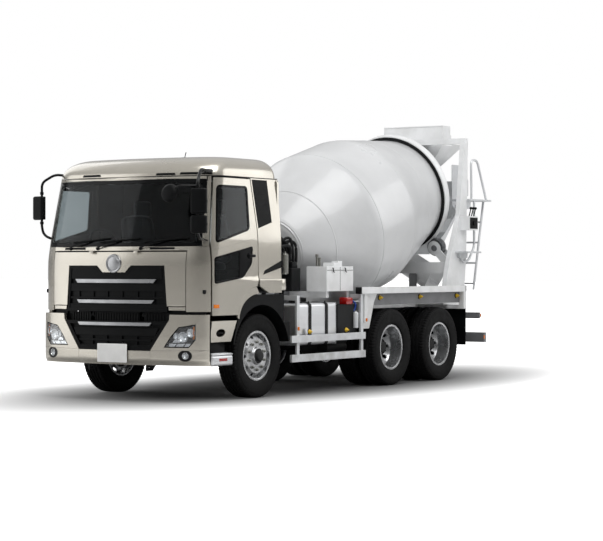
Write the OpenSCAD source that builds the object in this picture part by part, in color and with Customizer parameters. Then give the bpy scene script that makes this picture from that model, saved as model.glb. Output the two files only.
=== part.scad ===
// Six-by-four concrete mixer truck with a tilting cab, doors, front lid, steered and driven wheels,
// a turning drum on rollers, and a swinging discharge chute.
// Millimetres, +X forward, +Y left, +Z up, ground at zero under the middle of the vehicle.

/* [Chassis] */
// Front axle to first rear axle
wheelbase = 3100; // [3000:10:3250]
// First to second rear axle
tandem_spacing = 1320; // [1290:10:1380]
// Front axle to the nose of the bumper
front_overhang = 1355; // [1340:5:1370]
// Front axle to the rear end of the discharge guide
rear_reach = 6620; // [6600:5:6660]
// Middle of each frame rail from the centre line
rail_y = 430; // [424:1:436]
// Width of a frame rail
rail_width = 90; // [84:1:96]
// Underside of the frame rails
rail_low = 720; // [710:2:730]
// Top of the frame rails
rail_top = 1000; // [990:2:1010]
// Height of the mixer subframe on the rails
subframe_height = 40; // [36:1:44]
// Thickness of the rail webs and flanges
rail_wall = 9; // [7:0.5:12]

/* [Wheels] */
// Outside radius of the tyres
tyre_radius = 508; // [500:1:514]
// Half the width of a tyre
tyre_half = 138; // [132:1:140]
// Radius of the bead seats on the rims
bead_radius = 286; // [282:1:290]
// Radius of the bolt face of the wheel discs
nave_radius = 205; // [195:1:215]
// Number of hand holes in each wheel disc
hand_holes = 10; // [8:1:10]
// Middle of the front tyres from the centre line
front_track_half = 1022; // [1015:1:1030]
// Middle of each rear pair from the centre line
rear_track_half = 925; // [920:1:930]
// Spacing between the two tyres of a rear pair
twin_spacing = 320; // [312:1:328]
// Steering pivot from the centre line
kingpin_y = 870; // [860:1:878]
// Radius of the steering pins
kingpin_radius = 22; // [20:0.5:24]
// Running clearance round a shaft
running_clearance = 0.05; // [0.03:0.01:0.08]

/* [Cab] */
// Half the width of the cab
cab_half = 1240; // [1230:1:1245]
// Rear wall of the cab behind the front axle
cab_back = 380; // [360:2:400]
// Lower edge of the cab sides
cab_low = 1000; // [996:1:1004]
// Top of the roof
cab_roof_top = 2900; // [2860:5:2940]
// Seam between the side panels and the roof
roof_seam = 2640; // [2636:1:2650]
// Thickness of the cab walls and doors
cab_wall = 55; // [48:1:60]
// Lower edge of the windscreen opening
glass_low = 1815; // [1808:1:1830]
// Upper edge of the windscreen opening
glass_top = 2596; // [2560:2:2610]
// Backward lean of the windscreen
windscreen_rake = 12.3; // [11:0.1:13.5]
// Thickness of the glass
glass_thickness = 8; // [6:0.5:10]
// Underside of the cab floor
floor_low = 1262; // [1258:1:1275]
// Thickness of the cab floor
floor_thickness = 48; // [40:1:60]
// Seam left between fixed panels
seam = 0.4; // [0.2:0.1:0.8]
// Height of the cab tilt pivot
tilt_z = 1000; // [996:1:1004]
// Cab tilt pivot ahead of the front axle
tilt_x = 1235; // [1228:1:1242]

/* [Doors] */
// Hinge line ahead of the front axle
hinge_x = 1060; // [1050:1:1066]
// Half the gap at the hinged edge
hinge_gap = 9; // [9:0.5:11]
// Gap round the other edges
door_gap = 8; // [7:0.5:10]
// Lower edge of the doors
door_low = 1003; // [1002:1:1010]
// Upper edge of the doors
door_top = 2626; // [2620:1:2630]
// Height at which the door's front edge starts to lean back
door_bend = 1850; // [1840:2:1860]
// Backward lean of the door's front edge at its top
door_lean = 137; // [130:1:145]
// Radius of the hinge knuckles
knuckle_radius = 6; // [5:0.5:7]
// Sill of the door window at its front end
sill_front = 1852; // [1840:2:1870]
// Sill of the door window at its rear end
sill_rear = 2016; // [2000:2:2030]

/* [Front] */
// Lower edge of the front lid
lid_low = 1120; // [1112:1:1128]
// Upper edge of the front lid
lid_top = 1750; // [1740:2:1754]
// Half the width of the front lid
lid_half = 976; // [966:2:982]
// Thickness of the front lid
lid_thickness = 40; // [34:1:44]
// Lower edge of the bumper
bumper_low = 430; // [420:2:440]
// Upper edge of the bumper at the corners
bumper_top = 1024; // [1018:1:1028]
// Thickness of the bumper
bumper_wall = 45; // [38:1:50]
// Half the width of the upper grille at its foot
grille_half = 747; // [732:2:757]

/* [Drum] */
// Drum reference point behind the front axle
drum_x = 3500; // [3480:2:3520]
// Height of the drum axis at the reference point
drum_z = 2158; // [2150:1:2170]
// Upward lean of the drum axis to the rear
drum_tilt = 15.2; // [14.8:0.1:15.6]
// Radius of the drum belly
drum_radius = 1085; // [1075:1:1092]
// Half the length of the straight belly
belly_half = 472; // [460:2:484]
// Front plate ahead of the reference point
drum_front = 1500; // [1490:2:1510]
// Radius of the front plate
front_plate_radius = 430; // [420:2:440]
// Radius where the front cone changes slope
front_break_radius = 716; // [706:2:726]
// Front break ahead of the reference point
front_break = 1110; // [1096:2:1124]
// Front edge of the roller track behind the reference point
track_front = 1755; // [1745:1:1765]
// Width of the roller track
track_width = 115; // [105:1:120]
// Radius of the roller track
track_radius = 862; // [856:1:866]
// Cone radius at the roller track
track_cone_radius = 795; // [785:1:805]
// Mouth behind the reference point
drum_mouth = 2350; // [2340:2:2360]
// Radius of the mouth
mouth_radius = 545; // [535:1:555]
// Thickness of the drum wall
drum_wall = 10; // [8:0.5:12]
// Height of the mixing blades
blade_height = 230; // [200:5:250]
// Turns of each mixing blade that show from the mouth
blade_turns = 1.1; // [0.9:0.05:1.2]
// Radius of the drum rollers
roller_radius = 125; // [118:1:130]
// Swing of each roller from straight below the drum
roller_angle = 36; // [33:0.5:38]
// Radius of the roller pins
roller_pin = 35; // [32:0.5:38]

/* [Body] */
// Outer face of the side decks
deck_half = 1220; // [1215:1:1225]
// Top of the deck rail
deck_top = 1310; // [1300:2:1320]
// Height of the deck rail
deck_rail = 86; // [80:1:92]
// Top of the walkway beside the drum
walkway = 1120; // [1112:1:1128]
// Lower edge of the deck skirt
skirt_low = 1070; // [1062:1:1080]
// Front end of the deck rail behind the front axle
deck_front = 2290; // [2280:2:2310]
// Rear end of the deck rail behind the front axle
deck_rear = 5090; // [5070:2:5110]
// Rear face of the under-run bar behind the front axle
bar_rear = 5740; // [5730:2:5760]
// Half the length of the under-run bar
bar_half = 1238; // [1220:2:1244]
// Radius of the hand rails
rail_tube = 17; // [15:0.5:20]
// Standing height of the platform
platform_z = 2530; // [2520:2:2544]

/* [Hopper and chute] */
// Front face of the hopper behind the front axle
hopper_front = 5800; // [5790:2:5806]
// Half the width of the hopper
hopper_half = 500; // [480:2:510]
// Top of the hopper splash wall
hopper_top = 3640; // [3600:5:3680]
// Height of the splash wall above the hopper rim
splash_height = 262; // [240:2:280]
// Thickness of the hopper and guide sheets
sheet = 8; // [6:0.5:10]
// Chute post behind the front axle
chute_x = 6030; // [6020:2:6040]
// Height of the chute pivot
chute_z = 1440; // [1432:1:1448]
// Length of the chute
chute_length = 1330; // [1280:5:1350]
// Half the width of the chute
chute_half = 215; // [205:1:220]
// Rise of the stowed chute
chute_rise = 30; // [27:0.5:33]
// Radius of the chute post
post_radius = 40; // [36:0.5:44]

/* [Hidden] */
$fn = 48;
front_reach = front_overhang + 265;
origin_shift = (rear_reach - front_reach) / 2;
axle_2 = -wheelbase;
axle_3 = -wheelbase - tandem_spacing;
tandem_x = (axle_2 + axle_3) / 2;
rail_out = rail_y + rail_width / 2;
rail_in = rail_y - rail_width / 2;
rail_front = 1150;
rail_rear = 5600;
deck_floor = rail_top + subframe_height;
guard_arm = walkway + 40;
tow_x = rail_front + 65;
tank_out = deck_half - 70;
box_out = deck_half - 90;
hopper_rim = hopper_top - splash_height;
hopper_low = hopper_rim - 388;
cab_nose = front_overhang - 15;
nose_sag = 60;
corner_y = 800;
corner_depth = 330;
corner_end = cab_nose - nose_sag - corner_depth;
bumper_back = 1085;
bumper_half = cab_half - 30;
step_front = bumper_back - 12;
bumper_depth = front_overhang - nose_sag - bumper_back - 5;
wing_y = 800;
wing_depth = 330;
glass_nose = cab_nose - 35;
belt_z = 1900;
roof_half = cab_half - 55;
roof_front = 700;
roof_side = 220;
roof_back = 180;
firewall = 1150;
firewall_thickness = 28;
cowl_gap = 16;
side_y = lid_half + door_gap;
lid_axis_x = cab_nose + 2;
lid_axis_z = lid_top + cowl_gap / 2;
hinge_y = corner_y + (cab_half - corner_y) * sqrt(1 - pow((hinge_x - corner_end) / corner_depth, 2))
    - knuckle_radius - 1;
arch_x = 100;
arch_z = 950;
arch_a = 420;
arch_b = 300;
arch_gap = 6;
liner_radius = 600;
liner_z = 520;
drum_lean = drum_tilt - 90;
track_back = track_front + track_width;
roller_reach = track_radius + roller_radius + 0.3;
roller_half = track_width / 2 - 5;
track_mid = track_front + track_width / 2;
column_in = 895;
column_out = 965;
twin_half = twin_spacing / 2;
pinion_reach = 260;
spring_seat = 82;
bowl_turn = 76;
bowl_depth = 60;
bowl_back = 70;
shaft_z = 620;
post_top = chute_z - 240;

// Points along an elliptical arc.
function arc(cx, cy, a, b, t0, t1, n) =
    [for (k = [0:n]) let (t = t0 + (t1 - t0) * k / n) [cx + a * cos(t), cy + b * sin(t)]];

// Outline points mirrored to the other side of the centre line, in reverse order.
function flip(p) = [for (k = [len(p) - 1:-1:0]) [-p[k][0], p[k][1]]];
function flip_y(p) = [for (k = [len(p) - 1:-1:1]) [p[k][0], -p[k][1]]];

// Left half of a rounded nose seen from above, drawn in by i.
function half_plan(nose, back, half, start_y, depth, i) = concat(
    [for (k = [0:3]) let (y = start_y * k / 3) [nose - i - nose_sag * pow(y / start_y, 2), y]],
    arc(nose - nose_sag - depth, start_y, depth - i, half - i - start_y, 15, 90, 5),
    [[back + i, half - i]]);
function full_plan(nose, back, half, start_y, depth, i) =
    let (p = half_plan(nose, back, half, start_y, depth, i)) concat(p, flip_y(p));

// Side view of the cab roof and back, drawn in by i.
function cab_side(i) = concat(
    [[i - cab_back, 0], [2000, 0], [2000, roof_seam]],
    arc(roof_front, roof_seam, 425 - i, cab_roof_top - roof_seam - i, 0, 90, 6),
    arc(roof_back - cab_back, cab_roof_top - roof_back, roof_back - i, roof_back - i, 90, 180, 5));

// Front view of the cab, drawn in by i.
function cab_front_half(i) = concat(
    [[cab_half - i, 0], [cab_half - i, belt_z], [roof_half - i, roof_seam]],
    arc(roof_half - roof_side, roof_seam, roof_side - i, cab_roof_top - roof_seam - i, 15, 90, 5));
function cab_front(i) = let (p = cab_front_half(i)) concat(p, flip(p));

// Door outline from the side, with front edge f and drawn in by g.
function door_outline(f, g) = concat(
    [[f, door_low + g], [f, door_bend], [f - door_lean, door_top - g], [216 + g, door_top - g],
        [131 + g, 2019], [112 + g, 1433]],
    arc(arch_x, arch_z, 460 + g, 390 + g, 84, 9, 5));

// Front wheel arch from the side, drawn in by g.
function arch_outline(g) = concat(
    [[-700, 300], [620 - g, 300], [620 - g, 660]],
    arc(arch_x, arch_z, arch_a - g, arch_b - g, 0, 90, 7),
    [[-700, arch_z + arch_b - g]]);

// Sweep of a round section along a line of points with rounded corners.
function unit(v) = v / norm(v);
function heading(p, i) =
    i == 0 ? unit(p[1] - p[0]) :
    i == len(p) - 1 ? unit(p[i] - p[i - 1]) : unit(unit(p[i + 1] - p[i]) + unit(p[i] - p[i - 1]));
function hoop(c, t, r, n) =
    let (a = unit(cross([0.31, 0.17, 0.93], t)), b = cross(t, a))
    [for (k = [0:n - 1]) c + r * (cos(360 * k / n) * a + sin(360 * k / n) * b)];
function bent(p, r, n = 4) = concat(
    [p[0]],
    [for (i = [1:len(p) - 2])
        let (a = p[i] + r * unit(p[i - 1] - p[i]), b = p[i] + r * unit(p[i + 1] - p[i]))
        for (k = [0:n]) let (t = k / n) (1 - t) * (1 - t) * a + 2 * t * (1 - t) * p[i] + t * t * b],
    [p[len(p) - 1]]);
module tube(p, r, n = 12) {
    m = len(p);
    polyhedron(
        points = [for (i = [0:m - 1]) each hoop(p[i], heading(p, i), r, n)],
        faces = concat(
            [[for (k = [0:n - 1]) k]],
            [for (i = [0:m - 2], k = [0:n - 1]) each let (a = i * n + k, b = i * n + (k + 1) % n)
                [[a, a + n, b + n], [a, b + n, b]]],
            [[for (k = [n - 1:-1:0]) (m - 1) * n + k]]),
        convexity = 6);
}

// Box between two corners.
module box(x0, x1, y0, y1, z0, z1) {
    translate([x0, y0, z0]) cube([x1 - x0, y1 - y0, z1 - z0]);
}

// Plate with a side-view outline between two distances from the centre line.
module side_plate(points, y0, y1) {
    translate([0, y1, 0]) rotate([90, 0, 0]) linear_extrude(y1 - y0) polygon(points);
}

// Plate with a front-view outline between two lengthwise positions.
module front_plate(points, x0, x1) {
    translate([x0, 0, 0]) rotate([90, 0, 90]) linear_extrude(x1 - x0) polygon(points);
}

// Upright plate with a plan outline between two heights.
module plan_plate(points, z0, z1) {
    translate([0, 0, z0]) linear_extrude(z1 - z0) polygon(points);
}

// Round bar across the vehicle.
module cross_bar(x, y0, y1, z, r) {
    translate([x, y0, z]) rotate([-90, 0, 0]) cylinder(r = r, h = y1 - y0);
}

// Round bar along the vehicle.
module long_bar(x0, x1, y, z, r) {
    translate([x0, y, z]) rotate([0, 90, 0]) cylinder(r = r, h = x1 - x0);
}

// Everything drawn from the front axle is moved so the vehicle sits about the origin.
module placed() {
    translate([origin_shift, 0, 0]) children();
}

// A left-hand form and its mirror image.
module pair() {
    children();
    mirror([0, 1, 0]) children();
}

// Drum frame with the axis along local Z, up to the rear.
module on_drum() {
    translate([-drum_x, 0, drum_z]) rotate([0, drum_lean, 0]) children();
}

// Four-sided form from a lower to an upper rectangle, each [x0, x1, half, z_at_x0, z_at_x1], drawn in by i.
function corners(q, i, dz) = [
    [q[0] + i, -(q[2] - i), q[3] + dz], [q[1] - i, -(q[2] - i), q[4] + dz],
    [q[1] - i, q[2] - i, q[4] + dz], [q[0] + i, q[2] - i, q[3] + dz]];
module prism(lower, upper, i, dz) {
    polyhedron(
        points = concat(corners(lower, i, -dz), corners(upper, i, dz)),
        faces = [[0, 1, 2], [0, 2, 3], [4, 6, 5], [4, 7, 6], [0, 4, 5], [0, 5, 1], [1, 5, 6], [1, 6, 2],
            [2, 6, 7], [2, 7, 3], [3, 7, 4], [3, 4, 0]]);
}

// Outer shape of the cab, drawn in by i.
module cab_form(i) {
    intersection() {
        plan_plate(full_plan(cab_nose, -cab_back, cab_half, corner_y, corner_depth, i), cab_low,
            cab_roof_top + 50);
        translate([0, 0, glass_low]) rotate([0, -windscreen_rake, 0])
            plan_plate(full_plan(glass_nose * cos(windscreen_rake), -3000, cab_half, wing_y, wing_depth, i),
                -1500, 1800);
        side_plate(cab_side(i), -1400, 1400);
        front_plate(cab_front(i), -1000, 2000);
    }
}

module cab_skin(t) {
    difference() {
        cab_form(0);
        cab_form(t);
    }
}

// Outer face of the windscreen at a side distance and a height above its lower edge.
function screen_x(y, h) = glass_nose - nose_sag * pow(y / wing_y, 2) - h * tan(windscreen_rake);
function screen_point(y, h, off) = [screen_x(y, h) + off, y, glass_low + h];

// Window openings seen from the front and from the side.
function screen_outline(g) = [
    [-(1126 - g), glass_low + g], [1126 - g, glass_low + g],
    [1092 - g, glass_top - g], [-(1092 - g), glass_top - g]];
function window_outline(g) = [
    [hinge_x - 60 - g, sill_front + g], [hinge_x - 162 - g, 2530 - g],
    [292 + g, 2530 - g], [292 + g, sill_rear + g]];
function low_window_outline(g) = [
    [hinge_x - 34 - g, 1376 + g], [hinge_x - 34 - g, 1688 - g], [232 + g, 1824 - g], [252 + g, 1610 + g],
        [440 + g, 1446 + g]];
function quarter_outline(g) = [
    [186 - g, 2616 - g], [-140 + g, 2616 - g], [-196 + g, 2112 + g], [104 - g, 2034 + g]];

// Cab body without its roof, doors and openings.
module cab_body() {
    difference() {
        cab_form(0);
        // Room inside, bounded by the floor and the wall behind the dashboard.
        intersection() {
            cab_form(cab_wall);
            union() {
                box(-3000, firewall, -2000, 2000, floor_low + floor_thickness, 4000);
                box(-3000, 2000, -2000, 2000, glass_low + 15, 4000);
            }
        }
        // Open space under the floor and behind the front lid.
        intersection() {
            cab_form(cab_wall);
            box(-3000, firewall + firewall_thickness + 1, -2000, 2000, 0, floor_low);
        }
        box(-3000, 520, -cab_half + cab_wall, cab_half - cab_wall, 0, floor_low);
        box(firewall + firewall_thickness, 2000, -side_y, side_y, 0, lid_top + cowl_gap);
        box(hinge_x + hinge_gap, 2000, -2000, 2000, 0, bumper_top + 32);
        // Roof, wheel arches and openings.
        box(-3000, 2000, -2000, 2000, roof_seam, 4000);
        side_plate(arch_outline(0), -2000, 2000);
        pair() side_plate(door_outline(hinge_x + hinge_gap, 0), cab_half - 200, cab_half + 200);
        front_plate(screen_outline(0), 900, 2000);
        pair() intersection() {
            cab_skin(12);
            side_plate(quarter_outline(0), cab_half - 200, cab_half + 200);
        }
    }
}

// Floor, front wall, cowl and tilt arms.
module cab_shell() color("BurlyWood") placed() {
    intersection() {
        cab_body();
        box(-cab_back + cab_wall + seam, 2000, -side_y + seam, side_y - seam, 0, 4000);
    }
    // Fixed knuckles of the front lid.
    pair() {
        cross_bar(lid_axis_x, 262, 300, lid_axis_z, knuckle_radius);
        box(lid_axis_x - 60, lid_axis_x + knuckle_radius, 262, 300, lid_axis_z,
            lid_axis_z + cowl_gap / 2 + 6);
    }
    // Tilt arms with their eyes.
    pair() difference() {
        union() {
            side_plate([[tilt_x + 26, tilt_z], [firewall + firewall_thickness, floor_low + 60],
                [firewall - 20, floor_low + 60], [firewall - 20, floor_low + 4], [tilt_x - 26, tilt_z]],
                rail_y - 75, rail_y - 45);
            cross_bar(tilt_x, rail_y - 75, rail_y - 45, tilt_z, 26);
        }
        cross_bar(tilt_x, rail_y - 80, rail_y - 40, tilt_z, 16 + running_clearance);
    }
}

// Wall behind the seats.
module cab_rear() color("BurlyWood") placed() {
    intersection() {
        cab_body();
        box(-3000, -cab_back + cab_wall, -side_y + seam, side_y - seam, 0, 4000);
    }
}

// Side wall with the front corner, the pillars and the wing.
module cab_side_wall() {
    intersection() {
        cab_body();
        box(-3000, 2000, side_y, 2000, 0, 4000);
    }
    // Tail of the wing behind the rear wall.
    box(-cab_back - 100, -cab_back + 10, cab_half - 90, cab_half, 1290, 1430);
    // Fixed hinge knuckles of the door.
    for (z = [1262, 1600]) {
        translate([hinge_x, hinge_y, z]) cylinder(r = knuckle_radius, h = 34);
        box(hinge_x, hinge_x + hinge_gap + 4, hinge_y - knuckle_radius, hinge_y + knuckle_radius, z,
            z + 34);
    }
}
module cab_side_left() color("BurlyWood") placed() cab_side_wall();
module cab_side_right() color("BurlyWood") placed() mirror([0, 1, 0]) cab_side_wall();

module cab_roof() color("BurlyWood") placed() {
    intersection() {
        cab_skin(cab_wall);
        box(-3000, 2000, -2000, 2000, roof_seam + seam, 4000);
    }
}

module windscreen() color("DarkSlateGray") placed() {
    intersection() {
        cab_skin(glass_thickness);
        front_plate(screen_outline(seam), 900, 2000);
    }
}

module quarter_panels() color("Black") placed() pair() {
    intersection() {
        cab_skin(12 - seam);
        side_plate(quarter_outline(seam), cab_half - 200, cab_half + 200);
    }
}

module seats() color("DimGray") placed() pair() {
    translate([0, 560, floor_low + floor_thickness]) {
        box(180, 560, -180, 180, 0, 210);
        box(110, 640, -250, 250, 210, 340);
        side_plate([[120, 300], [230, 300], [110, 900], [-10, 900]], -240, 240);
        side_plate([[90, 880], [10, 880], [-10, 1080], [70, 1080]], -130, 130);
    }
}

module dashboard() color("DarkSlateGray") placed() {
    side_plate([[firewall - 0.3, 1420], [firewall - 0.3, glass_low + 10], [1060, glass_low + 22],
        [900, 1770],
        [860, 1640], [960, 1420]], -950, 950);
    // Steering column, spokes and rim before the right-hand seat.
    translate([770, -560, 1790]) rotate([0, -28, 0]) {
        rotate_extrude() translate([205, 0, 0]) circle(r = 15);
        cylinder(r = 62, h = 40, center = true);
        for (a = [90, 210, 330]) rotate([0, 0, a]) translate([-18, 0, -9]) cube([36, 200, 18]);
        translate([0, 0, -280]) cylinder(r = 32, h = 280);
    }
}

module wipers() color("Black") placed() {
    for (y = [-700, -260, 370]) {
        tube([[screen_x(y, 0) - 6, y, glass_low - 30], [screen_x(y, 26) + 30, y, glass_low - 8],
            screen_point(y + 330, 66, 26)], 9, 10);
        tube([screen_point(y + 40, 46, 20), screen_point(y + 600, 92, 20)], 10, 10);
    }
}

module mirror_case(x, y, z, w, h, turn) {
    translate([x, y, z]) rotate([0, 0, turn]) difference() {
        hull() for (b = [-1, 1], c = [-1, 1])
            translate([0, b * (w / 2 - 30), c * (h / 2 - 30)]) rotate([0, 90, 0])
                cylinder(r = 30, h = 70, $fn = 32);
        box(-1, 6, -w / 2 + 16, w / 2 - 16, -h / 2 + 16, h / 2 - 16);
    }
}

module mirrors() color("Black") placed() {
    // Left stay from the roof corner round to the lower corner, with two stacked mirrors and a round one.
    tube(bent([[900, 1090, 2690], [1240, 1190, 2700], [1420, 1275, 2560], [1420, 1275, 1980],
        [1340, 1240, 1900], [1080, 1160, 1880]], 60), 16);
    mirror_case(1402, 1297, 2325, 190, 290, 14);
    mirror_case(1402, 1297, 2060, 190, 205, 14);
    tube(bent([[1418, 1270, 2500], [front_reach - 60, 1110, 2500], [front_reach - 50, 990, 2430]], 50), 11);
    translate([front_reach - bowl_depth * sin(bowl_turn) - bowl_back * cos(bowl_turn), 983, 2415])
        rotate([0, bowl_turn, 0]) cylinder(r1 = 108, r2 = bowl_back, h = bowl_depth);
    // Right stay with a single mirror.
    tube(bent([[900, -1090, 2690], [1010, -1160, 2700], [1120, -1275, 2600], [1120, -1275, 2040],
        [1110, -1240, 1950], [1080, -1160, 1920]], 60), 16);
    mirror_case(1102, -1297, 2290, 190, 290, -14);
}

module door_panel(low_window) {
    difference() {
        intersection() {
            cab_skin(cab_wall);
            side_plate(door_outline(hinge_x - hinge_gap, door_gap), cab_half - 200, cab_half + 200);
        }
        side_plate(window_outline(0), cab_half - 200, cab_half + 200);
        if (low_window) side_plate(low_window_outline(0), cab_half - 200, cab_half + 200);
    }
    for (z = [1300, 1638]) {
        translate([hinge_x, hinge_y, z - 3.6]) cylinder(r = knuckle_radius, h = 34);
        box(hinge_x - hinge_gap - 4, hinge_x, hinge_y - knuckle_radius, hinge_y + knuckle_radius, z - 3.6,
            z + 30.4);
    }
    // Handle bar over its recess.
    box(190, 330, cab_half - 1, cab_half + 14, 1880, 1912);
}

module door_glass(low_window) {
    intersection() {
        cab_skin(glass_thickness);
        union() {
            side_plate(window_outline(seam), cab_half - 200, cab_half + 200);
            if (low_window) side_plate(low_window_outline(seam), cab_half - 200, cab_half + 200);
        }
    }
}

module door_left() color("BurlyWood") placed() door_panel(true);
module door_left_glass() color("DarkSlateGray") placed() door_glass(true);
module door_right() color("BurlyWood") placed() mirror([0, 1, 0]) door_panel(false);
module door_right_glass() color("DarkSlateGray") placed() mirror([0, 1, 0]) door_glass(false);

// Upper grille opening seen from the front, drawn in by g.
function grille_outline(g) = [
    [-(grille_half - g), 1050 + g], [grille_half - g, 1050 + g], [708 - g, 1592 - g], [250, 1592 - g],
    [165, 1512 - g], [-165, 1512 - g], [-250, 1592 - g], [-(708 - g), 1592 - g]];

module front_lid() color("BurlyWood") placed() {
    difference() {
        intersection() {
            cab_skin(lid_thickness);
            box(900, 2000, -lid_half, lid_half, lid_low, lid_top);
        }
        front_plate(grille_outline(0), 900, 2000);
    }
    pair() {
        cross_bar(lid_axis_x, 300.5, 360, lid_axis_z, knuckle_radius);
        box(lid_axis_x - 50, lid_axis_x + knuckle_radius, 300.5, 360, lid_top - 14, lid_axis_z);
    }
}

module upper_grille() color("Black") placed() {
    intersection() {
        union() {
            difference() {
                cab_form(18);
                cab_form(lid_thickness);
            }
            // Bright bars across the grille.
            intersection() {
                cab_form(4);
                union() {
                    box(1200, 2000, -600, 600, 1384, 1434);
                    box(1200, 2000, -575, 575, 1146, 1190);
                }
            }
        }
        front_plate(grille_outline(seam), 1200, 2000);
        box(cab_nose - nose_sag - lid_thickness, 2000, -2000, 2000, 0, 4000);
    }
}

module bumper_form(i) {
    intersection() {
        plan_plate(full_plan(front_overhang, bumper_back - 2 * i, bumper_half, corner_y, bumper_depth, i),
            bumper_low - i, bumper_top + i);
        side_plate([[1000, 0], [front_overhang - 20 - i, 0], [front_overhang - 20 - i, bumper_low],
            [front_overhang - i, bumper_low + 60], [front_overhang - i, 760],
                [front_overhang - 18 - i, 2000],
            [1000, 2000]], -1400, 1400);
    }
}

// Lower grille opening and lamp openings seen from the front.
function lower_outline(g) = [
    [-(530 - g), 600 + g], [530 - g, 600 + g], [778 - g, 960], [790 - g, 1100],
    [-(790 - g), 1100], [-(778 - g), 960]];
function lamp_outline(g) = [
    [708 + g * 2, 640 + g], [1026 - g, 640 + g], [1104 - g, 730], [1104 - g, 915 - g], [899 + g, 880 - g]];

module bumper() color("BurlyWood") placed() {
    difference() {
        bumper_form(0);
        bumper_form(bumper_wall);
        front_plate(lower_outline(0), 900, 2000);
        pair() front_plate(lamp_outline(0), bumper_back + 20, 2000);
        pair() long_bar(bumper_back + 20, 2000, 985, 548, 66);
        box(-2000, 2000, -lid_half + 60, lid_half - 60, bumper_top - 16, 2000);
    }
    // Brackets to the sides of the tow eyes.
    intersection() {
        bumper_form(bumper_wall / 4);
        pair() box(rail_front + 20, 2000, rail_y + 15, rail_y + 45, bumper_low + 30, bumper_low + 150);
    }
}

module lower_grille() color("Black") placed() {
    intersection() {
        union() {
            difference() {
                bumper_form(22);
                bumper_form(bumper_wall);
            }
            intersection() {
                difference() {
                    bumper_form(6);
                    bumper_form(bumper_wall);
                }
                box(1200, 2000, -560, 560, 894, 930);
            }
        }
        front_plate(lower_outline(seam), 1200, 2000);
        box(1200, 2000, -2000, 2000, 590, 940);
    }
}

module lamps() color("WhiteSmoke") placed() {
    // Headlamps and fog lamps in the bumper corners.
    pair() intersection() {
        difference() {
            bumper_form(0);
            bumper_form(bumper_wall - 2);
        }
        union() {
            front_plate(lamp_outline(seam), bumper_back + 20, 2000);
            long_bar(bumper_back + 20, 2000, 985, 548, 66 - seam);
        }
        box(bumper_back + 65, 2000, 0, 2000, 0, 2000);
    }
    // Tail lamp units and side markers.
    pair() box(-5690, -5648, 830, 1180, 830, 920);
    pair() for (x = [-2850, -3925, -4975])
        cross_bar(x, deck_half - 66, deck_half - 48, deck_top - deck_rail - 56, 28);
}

module door_steps() color("Silver") placed() pair() {
    difference() {
        side_plate([[636, 420], [step_front, 420], [step_front, 950], [566, 950], [636, 680]], 950,
            cab_half - 6);
        box(676, step_front - 38, 1110, 1400, 470, 548);
        box(660, step_front - 38, 1060, 1400, 586, 730);
        box(640, step_front - 38, 1060, 1400, 772, 912);
    }
    for (x = [700, 980]) box(x, x + 60, rail_out, 951, rail_low + 20, rail_low + 80);
}

module mudguards() color("Black") placed() {
    // Front wheel arches.
    pair() difference() {
        union() {
            difference() {
                cross_bar(0, 640, 1204, liner_z, liner_radius + 12);
                cross_bar(0, 600, 1300, liner_z, liner_radius);
            }
            side_plate(arch_outline(arch_gap), 1186, 1206);
        }
        cross_bar(0, 600, 1300, liner_z, liner_radius);
        box(-2000, 2000, 600, 1300, -1000, 660);
        box(-2000, -612, 600, 1300, 0, 2000);
        box(-2000, -480, 1150, 1300, 900, 2000);
        box(600, 2000, 600, 1300, 0, 2000);
    }
    pair() {
        box(-30, 30, rail_out, 690, rail_top - 40, rail_top);
        box(-30, 30, 650, 690, rail_top - 40, liner_z + liner_radius + 5);
    }
    // Rubber flaps behind the rear wheels.
    pair() box(-deck_rear - 70, -deck_rear - 58, 640, deck_half - 4, 470, deck_floor - 60);
}

module rail_channel(x0, x1) {
    difference() {
        box(x0, x1, rail_in, rail_out, rail_low, rail_top);
        box(x0 - 1, x1 + 1, rail_in - 1, rail_out - rail_wall, rail_low + rail_wall, rail_top - rail_wall);
    }
}

module frame_rails() color("DarkSlateGray") placed() {
    pair() rail_channel(-rail_rear, rail_front);
    for (x = [-5000, -2600, -1600, tandem_x - 45])
        box(x, x + 90, -rail_out + rail_wall, rail_out - rail_wall, rail_low + 60, rail_top - 60);
    box(1040, 1130, -rail_out + rail_wall, rail_out - rail_wall, rail_low, rail_low + 70);
    // Rear cross member with the coupling bolt holes.
    difference() {
        box(-rail_rear - 20, -rail_rear, -rail_out, rail_out, rail_low, rail_top);
        for (y = [-80, 80], z = [-50, 50]) long_bar(-rail_rear - 30, -rail_rear + 10, y, rail_low + 140 + z,
            8.5);
    }
    // Cab pivot brackets with their pins.
    pair() {
        side_plate([[rail_front - 1, rail_low + 60], [tilt_x + 26, tilt_z], [tilt_x - 26, tilt_z + 20],
            [rail_front - 1, rail_top]], rail_y - 40, rail_y + 10);
        cross_bar(tilt_x, rail_y - 40, rail_y + 10, tilt_z, 26);
        cross_bar(tilt_x, rail_y - 80, rail_y - 30, tilt_z, 16);
    }
    // Tow eyes below the front ends.
    pair() difference() {
        side_plate([[rail_front - 190, rail_low + 10], [rail_front, rail_low + 10], [tow_x + 46, 420],
            [tow_x + 46, 360],
            [tow_x - 54, 360], [rail_front - 190, 560]], rail_y - 15, rail_y + 15);
        cross_bar(tow_x, rail_y - 40, rail_y + 40, 398, 21);
    }
}

module mixer_subframe() color("WhiteSmoke") placed() {
    pair() box(-rail_rear, -760, rail_in, rail_out, rail_top, deck_floor);
    for (x = [-5000, -4300, -2750, -1800, -1300])
        box(x, x + 80, -rail_in - 1, rail_in + 1, rail_top + 4, deck_floor - 4);
}

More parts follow.
